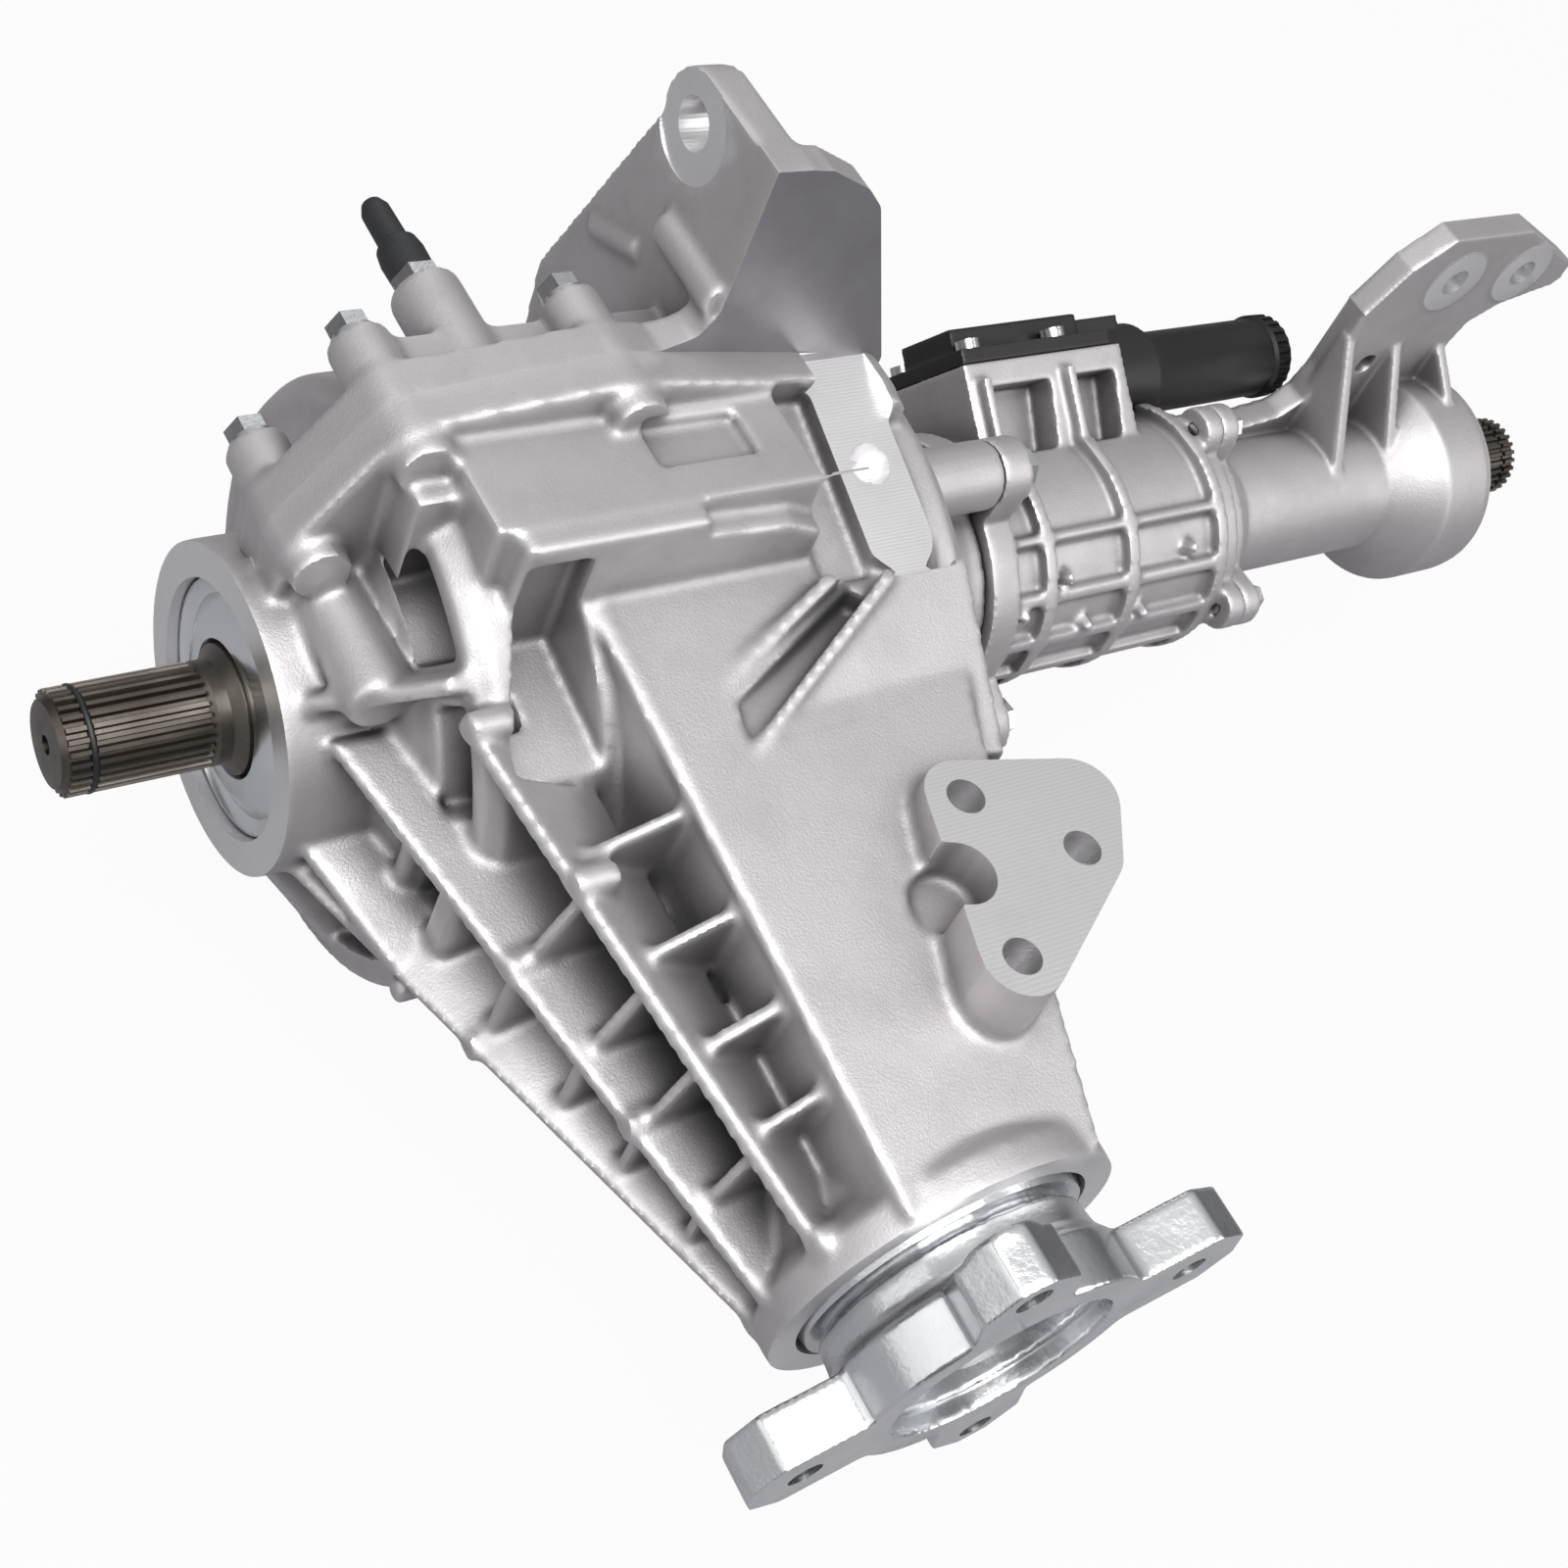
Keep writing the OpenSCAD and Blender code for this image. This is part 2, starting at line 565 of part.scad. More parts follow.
module plug(d, length) {
    difference() {
        union() {
            translate([0, 0, -length]) cylinder(h = length + 1, d = d);
            cylinder(h = 3, d = 1.35 * d);
            translate([0, 0, 3 - eps]) cylinder(h = 7, d = 1.1 * d, $fn = 6);
        }
        translate([0, 0, 4]) cylinder(h = 7, d = 0.5 * d, $fn = 6);
    }
}
module fill_plug() { color(steel) translate(fill_at) rotate([-90, 0, 0]) plug(20, 14); }
module drain_plug() { color(steel) translate(drain_at) rotate([180, 0, 0]) plug(18, 14); }

// Disconnect housing
module lug_ring(a, b, angles, centre_r, pad_r, core_r) {
    rod_x(a, b, core_r);
    at_angles(angles) {
        translate([0, centre_r, 0]) rod_x(a, b, pad_r);
        translate([a, core_r - 2, -pad_r]) cube([b - a, centre_r - core_r + 2, 2 * pad_r]);
    }
}
module disconnect_housing() {
    mid = (platform_x[0] + platform_x[1]) / 2;
    color(cast) difference() {
        union() {
            lug_ring(disc_left, disc_left + lug_t, lug_angles, lug_r, lug_pad_r, neck_r + 4);
            rod_x(disc_left + 1, disc_right - 1, disc_r);
            rotate([motor_dir, 0, 0]) translate([platform_x[0], 0, -platform_half])
                cube([platform_x[1] - platform_x[0], platform_r, 2 * platform_half]);
            for (x = disc_ribs) rod_x(x, x + rib_t, disc_r + disc_rib_h);
            for (x = [disc_ribs[0], disc_ribs[1]]) rotate([motor_dir, 0, 0])
                translate([x + 0.5, 0, -platform_half - disc_rib_h])
                    cube([rib_t - 1, platform_r - 6, 2 * (platform_half + disc_rib_h)]);
            at_angles([150:24:320]) translate([disc_left + 1, 0, -rib_t / 2])
                cube([disc_ribs[2] - disc_left, disc_r + disc_rib_h - 1, rib_t]);
            lug_ring(disc_right - tube_flange_t, disc_right, tube_lug_angles, tube_lug_r, 9, disc_r + 1);
        }
        rod_x(disc_left - 1, inner_bearing[0] - 6, disc_r - wall);
        rod_x(inner_bearing[0] - 7, disc_right + 1, journal_r + 4);
        rod_x(inner_bearing[0], disc_right + 1, tube_bearing_r);
        rotate([motor_dir, 0, 0]) {
            translate([mid - 24, 0, -9]) cube([48, platform_r + 1, 18]);
            translate([platform_x[1] + skin / 2, motor_d, 0]) rod_x(0, disc_right, motor_r + 3 + skin);
        }
        at_angles(lug_angles) translate([0, lug_r, 0]) rod_x(disc_left - 1, disc_left + lug_t + 1, bolt_d / 2 + bolt_gap);
        at_angles(tube_lug_angles) translate([0, tube_lug_r, 0]) rod_x(disc_right - tube_flange_t - 1, disc_right + 1, 3 + bolt_gap);
    }
}
module disconnect_bolts() {
    color(bright) at_angles(lug_angles) translate([disc_left + lug_t, lug_r, 0]) rotate([0, 90, 0]) bolt(bolt_d, lug_t + 18, 5);
}
module tube_bolts() {
    color(bright) at_angles(tube_lug_angles) translate([disc_right + tube_flange_t, tube_lug_r, 0]) rotate([0, 90, 0])
        bolt(6, 2 * tube_flange_t, 4);
}

// Axle tube, bell end and the upright bracket in front of it
module tube_bracket() {
    translate([0, bracket_y[1], 0]) rotate([90, 0, 0]) linear_extrude(bracket_y[1] - bracket_y[0])
        polygon([[disc_right + 5, 10], [disc_right + 5, 27], [300, 25], [320, 28], [328, 35], [331, 48], [330, 80],
            [341, 101], [356, 114], [401, 114], [441, 94], [442, 86], [438, 82], [412, 75], [400, 67], [397, 55],
            [399, 40], [399, 10]]);
    for (g = bracket_gussets) translate([g[0] - rib_t / 2, 0, 0]) rotate([90, 0, 90]) linear_extrude(rib_t)
        polygon([[bracket_y[0] + 4, g[1]], [bracket_y[0], g[1]], [g[2], g[3]], [g[2], 5], [bracket_y[0] + 4, 5]]);
}
module axle_tube() {
    color(cast) difference() {
        union() {
            lug_ring(disc_right, disc_right + tube_flange_t, tube_lug_angles, tube_lug_r, 9, disc_r - 4);
            turn_x([[disc_right, 0], [disc_right, tube_r + 8], [disc_right + 12, tube_r + 6], [disc_right + 22, tube_r],
                [bell_reach - 44, tube_r], [bell_reach - 34, tube_r + 9], [bell_reach - 26, bell_r],
                [bell_reach - 3, bell_r], [bell_reach, bell_r - 3], [bell_reach, 0]]);
            tube_bracket();
        }
        rod_x(disc_right - 1, outer_bearing[0] + 1, tube_r - tube_wall);
        rod_x(outer_bearing[0], outer_bearing[1] + 1, tube_bearing_r);
        rod_x(outer_bearing[1], bell_reach + 1, bell_seal_r);
        for (s = [0, 1]) translate([bracket_hole[0] + s * bracket_pitch, 0, bracket_hole[1]])
            rod_y(bracket_y[0] - 1, bracket_y[1] + 1, bracket_hole_d / 2);
        translate([web_hole[0], 0, web_hole[1]]) rod_y(bracket_y[0] - 1, bracket_y[1] + 1, web_hole_r);
        at_angles(tube_lug_angles) translate([0, tube_lug_r, 0]) rod_x(disc_right - 1, disc_right + tube_flange_t + 1, 3 + bolt_gap);
    }
}

// Shift actuator
module actuator_body() {
    mid = (platform_x[0] + platform_x[1]) / 2;
    color(rubber) rotate([motor_dir, 0, 0]) difference() {
        union() {
            translate([platform_x[0] + 2, platform_r, -platform_half + 2])
                cube([platform_x[1] - platform_x[0] - 4, 6, 2 * platform_half - 4]);
            translate([mid - 30, platform_r, -15]) cube([60, 15, 30]);
            translate([platform_x[1] - 14, platform_r + 1, -12]) cube([30, 12, 24]);
            translate([0, motor_d, 0]) rod_x(platform_x[1] + 1, platform_x[1] + 26, motor_r + 3);
        }
        translate([mid - 24, platform_r - 1, -7]) cube([48, 9, 14]);
        translate([platform_x[1] + 7, motor_d, 0]) rod_x(0, 30, motor_r + fit);
        for (x = [platform_x[0] + 10, platform_x[1] - 24]) for (s = [-1, 1])
            translate([x, platform_r, s * (platform_half - 8)]) rod_y(-1, 7, 2.5 + bolt_gap);
    }
}
module actuator_motor() {
    color(rubber) rotate([motor_dir, 0, 0]) translate([0, motor_d, 0]) turn_x([[platform_x[1] + 7.1, 0],
        [platform_x[1] + 7.1, motor_r], [motor_end - 4, motor_r], [motor_end, motor_r - 4], [motor_end, 0]]);
}
module actuator_screws() {
    color(bright) rotate([motor_dir, 0, 0]) for (x = [platform_x[0] + 10, platform_x[1] - 24]) for (s = [-1, 1])
        translate([x, platform_r + 6, s * (platform_half - 8)]) rotate([-90, 0, 0]) {
            cylinder(h = 3.5, d = 9);
            translate([0, 0, -5.9]) cylinder(h = 6, d = 5);
        }
}

// Oil seals
module seal_profile(a, b, ro, ri) { polygon([[ro - fit, a], [ri + 5, a], [ri + fit, a + 3], [ri + fit, a + 4], [ri + 4, a + 5], [ri + 4, b - 1], [ro - 3, b - 1], [ro - 3, b], [ro - fit, b]]); }
module seal_x(a, b, ro, ri) { rotate([0, 90, 0]) rotate_extrude() seal_profile(a, b, ro, ri); }
module left_oil_seal() { color(rubber) seal_x(-left_bore_reach + 8, -left_bore_reach + 18, left_bore_d / 2, stub_r); }
module right_oil_seal() { color(rubber) seal_x(bell_reach - 12.5, bell_reach - 5.5, bell_seal_r, stub_r); }
module pinion_oil_seal() {
    color(rubber) rotate([-90, 0, 0]) rotate_extrude() seal_profile(-nose_reach + 6, -seal_step - 1, nose_bore_d / 2, flange_hub_r);
}

// Taper roller bearings, drawn along +Z with the small end at the foot
function cup_thin(ro, ri) = 0.2 * (ro - ri);
function cup_thick(ro, ri, w) = cup_thin(ro, ri) + w * tan(9);
function roller_r(ro, ri) = 0.17 * (ro - ri);
module taper_cup(ro, ri, w) {
    rotate_extrude() polygon([[ro - fit, 0], [ro - fit, w], [ro - cup_thin(ro, ri), w], [ro - cup_thick(ro, ri, w), 0]]);
}
module taper_cone(ro, ri, w) {
    rr = roller_r(ro, ri);
    race = ro - cup_thick(ro, ri, w) - 0.2;
    track = race - 2 * rr + skin;
    rotate_extrude() polygon([[ri + fit, 0.1], [ri + fit, w], [track + w * tan(9) + 2, w], [track + w * tan(9) + 2, w - 1.7],
        [track + (w - 1.7) * tan(9), w - 1.7], [track + 1.7 * tan(9), 1.7], [track + 1.7, 1.7], [track + 1.7, 0.1]]);
    for (i = [0:17]) rotate([0, 0, 20 * i]) translate([race - rr + 2 * tan(9), 0, 2]) rotate([0, 9, 0])
        cylinder(h = w - 4, r = rr);
}
module on_right() { translate([cup_x + cup_w, 0, 0]) rotate([0, -90, 0]) children(); }
module on_left() { translate([-cup_x - cup_w, 0, 0]) rotate([0, 90, 0]) children(); }
module at_head() { translate([0, -head_seat - head_w, 0]) rotate([-90, 0, 0]) children(); }
module at_tail() { translate([0, -tail_seat, 0]) rotate([90, 0, 0]) children(); }
module left_carrier_cup() { color(steel) on_left() taper_cup(cup_r, seat_r, cup_w); }
module right_carrier_cup() { color(steel) on_right() taper_cup(cup_r, seat_r, cup_w); }
module left_carrier_cone() { color(steel) on_left() taper_cone(cup_r, seat_r, cup_w); }
module right_carrier_cone() { color(steel) on_right() taper_cone(cup_r, seat_r, cup_w); }
module pinion_head_cup() { color(steel) at_head() taper_cup(head_cup_r, head_ri, head_w); }
module pinion_head_cone() { color(steel) at_head() taper_cone(head_cup_r, head_ri, head_w); }
module pinion_tail_cup() { color(steel) at_tail() taper_cup(tail_cup_r, tail_ri, tail_w); }
module pinion_tail_cone() { color(steel) at_tail() taper_cone(tail_cup_r, tail_ri, tail_w); }
// A deep-groove ball bearing between two stations
module ball_bearing(span, ro, ri) {
    mid = (ro + ri) / 2;
    ball = 0.28 * (ro - ri);
    a = span[0];
    b = span[1];
    ring_x(a, b, ro - fit, mid + 0.22 * (ro - ri));
    ring_x(a, b, mid - 0.22 * (ro - ri), ri + fit);
    for (i = [0:11]) rotate([30 * i, 0, 0]) translate([(a + b) / 2, mid, 0]) sphere(r = ball);
    ring_x(a + 1, a + 2, mid + 0.23 * (ro - ri), mid - 0.23 * (ro - ri));
}
module intermediate_bearing() {
    color(steel) {
        ring_x(needle_x[0], needle_x[1], neck_bore - fit, neck_bore - 2);
        ring_x(needle_x[0], needle_x[0] + 1.5, neck_bore - 1, shaft_r + 0.5);
        ring_x(needle_x[1] - 1.5, needle_x[1], neck_bore - 1, shaft_r + 0.5);
        for (i = [0:19]) rotate([18 * i, 0, 0]) translate([0, shaft_r + 2.05 + fit, 0])
            rod_x(needle_x[0] + 1, needle_x[1] - 1, 2.05);
    }
}
module tube_inner_bearing() { color(steel) ball_bearing(inner_bearing, tube_bearing_r, journal_r); }
module tube_outer_bearing() { color(steel) ball_bearing(outer_bearing, tube_bearing_r, journal_r); }

// Differential
module differential_case() {
    color(steel) difference() {
        union() {
            turn_x([[-hub_end_x, 0], [-hub_end_x, seat_r], [-cup_x, seat_r], [-cup_x, seat_r + 8], [-cup_x + 3, 40],
                [-50, case_r - 4], [-46, case_r], [ring_back_x, case_r], [ring_back_x, case_flange_r - 1],
                [ring_back_x + 1, case_flange_r], [ring_back_x + case_flange_t, case_flange_r],
                [ring_back_x + case_flange_t, 44], [cup_x - 4, 34], [cup_x, seat_r + 8], [cup_x, seat_r],
                [hub_end_x, seat_r], [hub_end_x, 0]]);
        }
        sphere(r = case_sphere_r);
        rod_x(-case_face_x, case_face_x, case_sphere_r - 8);
        rod_x(-side_hub_x - 1, side_hub_x + 1, side_hub_r + fit);
        rod_x(-hub_end_x - 1, hub_end_x + 1, shaft_r + 1);
        rod_y(-case_r - 1, case_r + 1, 25);
        cylinder(h = 2 * case_r + 10, r = cross_pin_d / 2 + fit, center = true);
        translate([0, 0, case_r - 7]) rod_x(-60, 0, 3 + bolt_gap);
        for (i = [0:9]) rotate([36 * i, 0, 0]) translate([0, ring_bolt_r, 0])
            rod_x(ring_back_x - 1, ring_back_x + case_flange_t + 1, 5 + bolt_gap);
    }
}
module ring_gear() {
    root = gear_root(ring_cone, ring_face, ring_angle, ring_ded);
    color(steel) difference() {
        rotate([0, 90, 0]) {
            rotate([0, 0, -90 + 180 / ring_teeth])
                bevel_teeth(ring_cone, ring_face, ring_angle, ring_teeth, ring_add, ring_ded, ring_spiral, 4);
            rotate_extrude() polygon([root[0], root[1], [case_r + fit, root[1][1] + 1], [case_r + fit, ring_back_x],
                [root[0][0] - 3, ring_back_x], [root[0][0] + 0.5, root[0][1] + 5]]);
        }
        for (i = [0:9]) rotate([36 * i, 0, 0]) translate([0, ring_bolt_r, 0])
            rod_x(ring_back_x - 14, ring_back_x + 1, 5 + bolt_gap);
    }
}
module ring_gear_bolts() {
    color(steel) for (i = [0:9]) rotate([36 * i, 0, 0]) translate([ring_back_x + case_flange_t, ring_bolt_r, 0])
        rotate([0, 90, 0]) bolt(10, case_flange_t + 12, 5);
}
module cross_pin() {
    color(steel) difference() {
        cylinder(h = 2 * case_r - 2, d = cross_pin_d, center = true);
        translate([0, 0, case_r - 7]) rod_x(-cross_pin_d, cross_pin_d, 3 + bolt_gap);
    }
}
module cross_pin_lock() {
    color(steel) translate([0, 0, case_r - 7]) rod_x(-54, cross_pin_d / 2 - 1, 3);
}
module side_gear_washers() {
    color(bright) for (s = [0, 180]) rotate([0, 0, s])
        ring_x(side_back_x + fit, case_face_x - fit, case_sphere_r - 8.5, side_hub_r + 0.5);
}
module side_gear() {
    root = gear_root(bevel_cone, bevel_face, side_angle, bevel_ded);
    color(steel) difference() {
        union() {
            rotate([0, 90, 0]) {
                rotate([0, 0, 180 / side_teeth])
                    bevel_teeth(bevel_cone, bevel_face, side_angle, side_teeth, bevel_add, bevel_ded);
                rotate_extrude() polygon([root[0], root[1], [0, root[1][1] + 2], [0, side_hub_x], [side_hub_r, side_hub_x],
                    [side_hub_r, side_back_x], [root[0][0] + 1, side_back_x], [root[0][0] + 1, root[0][1] + 3]]);
            }
        }
        spline_hole_x(0, side_hub_x + 1, 24, inner_spline_r, inner_spline_r - 1);
        rod_x(0, stub_end + 4, inner_spline_r + 2);
    }
}
module left_side_gear() { mirror([1, 0, 0]) side_gear(); }
module right_side_gear() { side_gear(); }
module spider_gear() {
    root = gear_root(bevel_cone, bevel_face, spider_angle, bevel_ded);
    color(steel) difference() {
        intersection() {
            union() {
                bevel_teeth(bevel_cone, bevel_face, spider_angle, spider_teeth, bevel_add, bevel_ded);
                rotate_extrude() polygon([root[0], root[1], [0, root[1][1]], [0, case_sphere_r + 2],
                    [root[0][0], case_sphere_r + 2]]);
            }
            sphere(r = case_sphere_r - skin);
        }
        cylinder(h = 2 * case_sphere_r, r = cross_pin_d / 2 + fit);
    }
}
module upper_spider_gear() { spider_gear(); }
module lower_spider_gear() { rotate([180, 0, 0]) spider_gear(); }

// Pinion and propeller-shaft flange
module pinion_gear() {
    root = gear_root(ring_cone, ring_face, pinion_angle, ring_ded);
    color(steel) rotate([90, 0, 0]) {
        bevel_teeth(ring_cone, ring_face, pinion_angle, pinion_teeth, ring_add, ring_ded,
            -ring_spiral * ring_teeth / pinion_teeth, 6);
        rotate_extrude() polygon([[0, root[1][1]], root[1], root[0], [24, root[0][1] + 3], [24, head_seat],
            [head_ri, head_seat], [head_ri, tail_seat - 36], [tail_ri, tail_seat - 33], [tail_ri, tail_seat + tail_w],
            [tail_ri - 1, tail_seat + tail_w], [tail_ri - 1, 240], [12, 242], [12, 262], [11, 263], [0, 263]]);
        translate([0, 0, tail_seat + tail_w + 2]) linear_extrude(36) polygon(spline_points(24, tail_ri, tail_ri - 1));
    }
}
module crush_sleeve() {
    color(steel) turn_y([[-tail_seat + 0.1, head_ri + skin], [-tail_seat + 0.1, head_ri + 2.5], [-tail_seat + 18, head_ri + 2.5],
        [-tail_seat + 26, head_ri + 5], [-tail_seat + 34, head_ri + 2.5], [-head_seat - head_w, head_ri + 2.5],
        [-head_seat - head_w, head_ri + skin], [-tail_seat + 34, head_ri + skin], [-tail_seat + 26, head_ri + 2.8],
        [-tail_seat + 18, head_ri + skin]]);
}
module flange_arm(half, tip) {
    polygon([[0, -half - 10], [30, -half - 8], [44, -half], [tip - 10, -half], [tip, -half + 10], [tip, half - 10],
        [tip - 10, half], [44, half], [30, half + 8], [0, half + 10]]);
}
module pinion_flange() {
    color(bright) difference() {
        union() {
            turn_y([[-tail_seat - tail_w - 0.1, 0], [-tail_seat - tail_w - 0.1, tail_ri + 9], [-seal_step, tail_ri + 10],
                [-seal_step - 0.5, flange_hub_r], [-nose_reach - 3, flange_hub_r], [-nose_reach - 3, 42],
                [flange_y + arm_t + 4, 43], [flange_y + arm_t, 46], [flange_y + 1, 46], [flange_y, 45], [flange_y, 0]]);
            translate([0, flange_y, 0]) rotate([-90, 0, 0]) linear_extrude(arm_t) {
                for (a = [0, 180]) rotate(-flange_turn + a) flange_arm(17.5, 79);
                for (a = [90, 270]) rotate(-flange_turn + a) flange_arm(15, 72);
            }
        }
        rod_y(flange_y - 1, flange_y + pilot_depth, pilot_d / 2);
        rod_y(flange_y, flange_y + nut_seat - 11, pilot_d / 2 - 3);
        rod_y(flange_y, flange_y + nut_seat, 24);
        rotate([90, 0, 0]) translate([0, 0, tail_seat]) linear_extrude(100)
            polygon(spline_points(24, tail_ri + 2 * fit, tail_ri - 1 + 2 * fit, 0.04));
        for (a = [0:90:270]) rotate([0, -flange_turn + a, 0]) translate([flange_pcd / 2, 0, 0])
            rod_y(flange_y - 1, flange_y + arm_t + 1, flange_hole_d / 2);
    }
}
module pinion_nut() {
    color(bright) translate([0, flange_y + nut_seat, 0]) rotate([90, 0, 0]) difference() {
        union() {
            cylinder(h = 2, r = 22);
            cylinder(h = 15, r = 20.8, $fn = 6);
        }
        translate([0, 0, -1]) cylinder(h = 20, r = 12 + fit);
    }
}
module pinion_dust_shield() {
    color(bright) turn_y([[-nose_reach - 0.5, flange_hub_r + fit], [-nose_reach - 0.5, 44.5], [-nose_reach + 3, 45.5],
        [-nose_reach + 3, 44.5], [-nose_reach + 1, 43.5], [-nose_reach + 1, flange_hub_r + fit]]);
}

// Output shafts
module output_spline(a, b) { spline_x(a, b, spline_teeth, spline_r, spline_r - 1.5); }
module left_stub_shaft() {
    color(steel) difference() {
        union() {
            turn_x([[-left_tip, 0], [-left_tip, spline_r - 3], [-left_tip + 2, spline_r - 1.6],
                [-left_tip + spline_len, spline_r - 1.6], [-left_tip + spline_len + 2, spline_r],
                [-left_bore_reach - 1, spline_r], [-left_bore_reach + 2, stub_r], [-left_bore_reach + 24, stub_r],
                [-left_bore_reach + 28, shaft_r], [-side_hub_x - 2, shaft_r], [-side_hub_x - 1, inner_spline_r - 1],
                [-stub_end, inner_spline_r - 1], [-stub_end, 0]]);
            spline_x(-side_hub_x - 1, -stub_end, 24, inner_spline_r, inner_spline_r - 1);
            output_spline(-left_tip + 2, -left_tip + spline_len);
        }
        ring_x(-stub_end - 3.6, -stub_end - 2, 16, 12.5);
        ring_x(-left_tip + 8, -left_tip + 10, 20, spline_r - 2.2);
        rod_x(-left_tip - 1, -left_tip + 6, 3);
    }
}
module left_snap_ring() {
    color(steel) difference() {
        ring_x(-stub_end - 3.5, -stub_end - 2.1, inner_spline_r + 1.5, 12.6);
        translate([-stub_end - 5, 0, -2]) cube([5, 20, 4]);
    }
}
module left_dust_shield() {
    color(bright) turn_x([[-left_bore_reach + 3, stub_r + fit], [-left_bore_reach + 3, 36], [-left_bore_reach + 1, 38],
        [-left_bore_reach + 2.5, 38.6], [-left_bore_reach + 5, 37], [-left_bore_reach + 5, stub_r + fit]]);
}
module intermediate_shaft() {
    color(steel) union() {
        turn_x([[stub_end, 0], [stub_end, inner_spline_r - 1], [side_hub_x + 1, inner_spline_r - 1],
            [side_hub_x + 2, shaft_r], [clutch_x[0] - 6, shaft_r], [clutch_x[0], clutch_r - 2], [clutch_x[1], clutch_r - 2],
            [clutch_x[1], pilot_r], [inter_tip - 1, pilot_r], [inter_tip, pilot_r - 1], [inter_tip, 0]]);
        spline_x(stub_end, side_hub_x + 1, 24, inner_spline_r, inner_spline_r - 1);
        spline_x(clutch_x[0], clutch_x[1], clutch_teeth, clutch_r, clutch_r - 2);
    }
}
module shift_collar() {
    mid = (collar_x[0] + collar_x[1]) / 2;
    color(steel) difference() {
        rod_x(collar_x[0], collar_x[1], collar_r);
        spline_hole_x(collar_x[0] - 1, collar_x[1] + 1, clutch_teeth, clutch_r, clutch_r - 2);
        ring_x(mid - groove_w / 2, mid + groove_w / 2, collar_r + 1, groove_r);
    }
}
module shift_fork() {
    mid = (collar_x[0] + collar_x[1]) / 2;
    half = groove_w / 2 - skin;
    color(bright) rotate([motor_dir, 0, 0]) difference() {
        union() {
            intersection() {
                ring_x(mid - half, mid + half, disc_r - wall - 2, groove_r + skin);
                translate([mid - half, 0, -disc_r]) cube([2 * half, disc_r, 2 * disc_r]);
            }
            translate([mid - half, disc_r - wall - 6, -6.7]) cube([2 * half, platform_r + 7 - disc_r + wall + 6, 13.4]);
        }
    }
}
module right_output_shaft() {
    color(steel) difference() {
        union() {
            turn_x([[clutch_x[2], 0], [clutch_x[2], clutch_r - 2], [clutch_x[3], clutch_r - 2], [clutch_x[3] + 1, journal_r],
                [disc_right + 2, journal_r], [disc_right + 6, tube_shaft_r], [outer_bearing[0] - 6, tube_shaft_r],
                [outer_bearing[0] - 2, journal_r], [outer_bearing[1] + 1, journal_r], [outer_bearing[1] + 1.5, stub_r],
                [bell_reach + 1, stub_r], [bell_reach + 3, spline_r - 1.6], [right_tip - 2, spline_r - 1.6],
                [right_tip, spline_r - 3], [right_tip, 0]]);
            spline_x(clutch_x[2], clutch_x[3], clutch_teeth, clutch_r, clutch_r - 2);
            output_spline(bell_reach + 4, right_tip - 2);
        }
        rod_x(clutch_x[2] - 1, inter_tip + 2, pilot_r + fit);
        ring_x(right_tip - 10, right_tip - 8, 20, spline_r - 2.2);
        rod_x(right_tip - 6, right_tip + 1, 3);
    }
}
module right_dust_shield() {
    color(bright) turn_x([[bell_reach - 5, stub_r + fit], [bell_reach - 5, 31], [bell_reach - 2, 33],
        [bell_reach - 1, 32], [bell_reach - 3, 29.5], [bell_reach - 3, stub_r + fit]]);
}

on_axle() main_housing();
on_axle() front_cover();
on_axle() cover_bolts();
on_axle() breather_nipple();
on_axle() breather_cap();
on_axle() fill_plug();
on_axle() drain_plug();
on_axle() disconnect_housing();
on_axle() disconnect_bolts();
on_axle() axle_tube();
on_axle() tube_bolts();
on_axle() actuator_body();
on_axle() actuator_motor();
on_axle() actuator_screws();
on_axle() left_oil_seal();
on_axle() right_oil_seal();
on_axle() pinion_oil_seal();
on_axle() left_carrier_cup();
on_axle() right_carrier_cup();
on_axle() left_carrier_cone();
on_axle() right_carrier_cone();
on_axle() pinion_head_cup();
on_axle() pinion_head_cone();
on_axle() pinion_tail_cup();
on_axle() pinion_tail_cone();
on_axle() intermediate_bearing();
on_axle() tube_inner_bearing();
on_axle() tube_outer_bearing();
on_axle() differential_case();
on_axle() ring_gear();
on_axle() ring_gear_bolts();
on_axle() cross_pin();
on_axle() side_gear_washers();
on_axle() left_side_gear();
on_axle() right_side_gear();
on_axle() upper_spider_gear();
on_axle() lower_spider_gear();
on_axle() pinion_gear();
on_axle() crush_sleeve();
on_axle() pinion_flange();
on_axle() pinion_nut();
on_axle() pinion_dust_shield();
on_axle() left_stub_shaft();
on_axle() left_snap_ring();
on_axle() left_dust_shield();
on_axle() intermediate_shaft();
on_axle() shift_collar();
on_axle() shift_fork();
on_axle() right_output_shaft();
on_axle() right_dust_shield();
on_axle() bearing_caps();
on_axle() cap_bolts();
on_axle() cross_pin_lock();
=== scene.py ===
"""Looks of a front differential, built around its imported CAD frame.

Shapes are worked out in millimetres in the axle's own directions: X along the axle to the
right, Y forward and Z up, from the point where the axle line crosses the pinion line.
``mesh_of`` turns them into the frame's metres.
"""

from __future__ import annotations

import logging
from dataclasses import dataclass, field
from enum import Enum
from typing import Sequence

import bmesh
import bpy
import numpy as np
from mathutils import Matrix, Vector

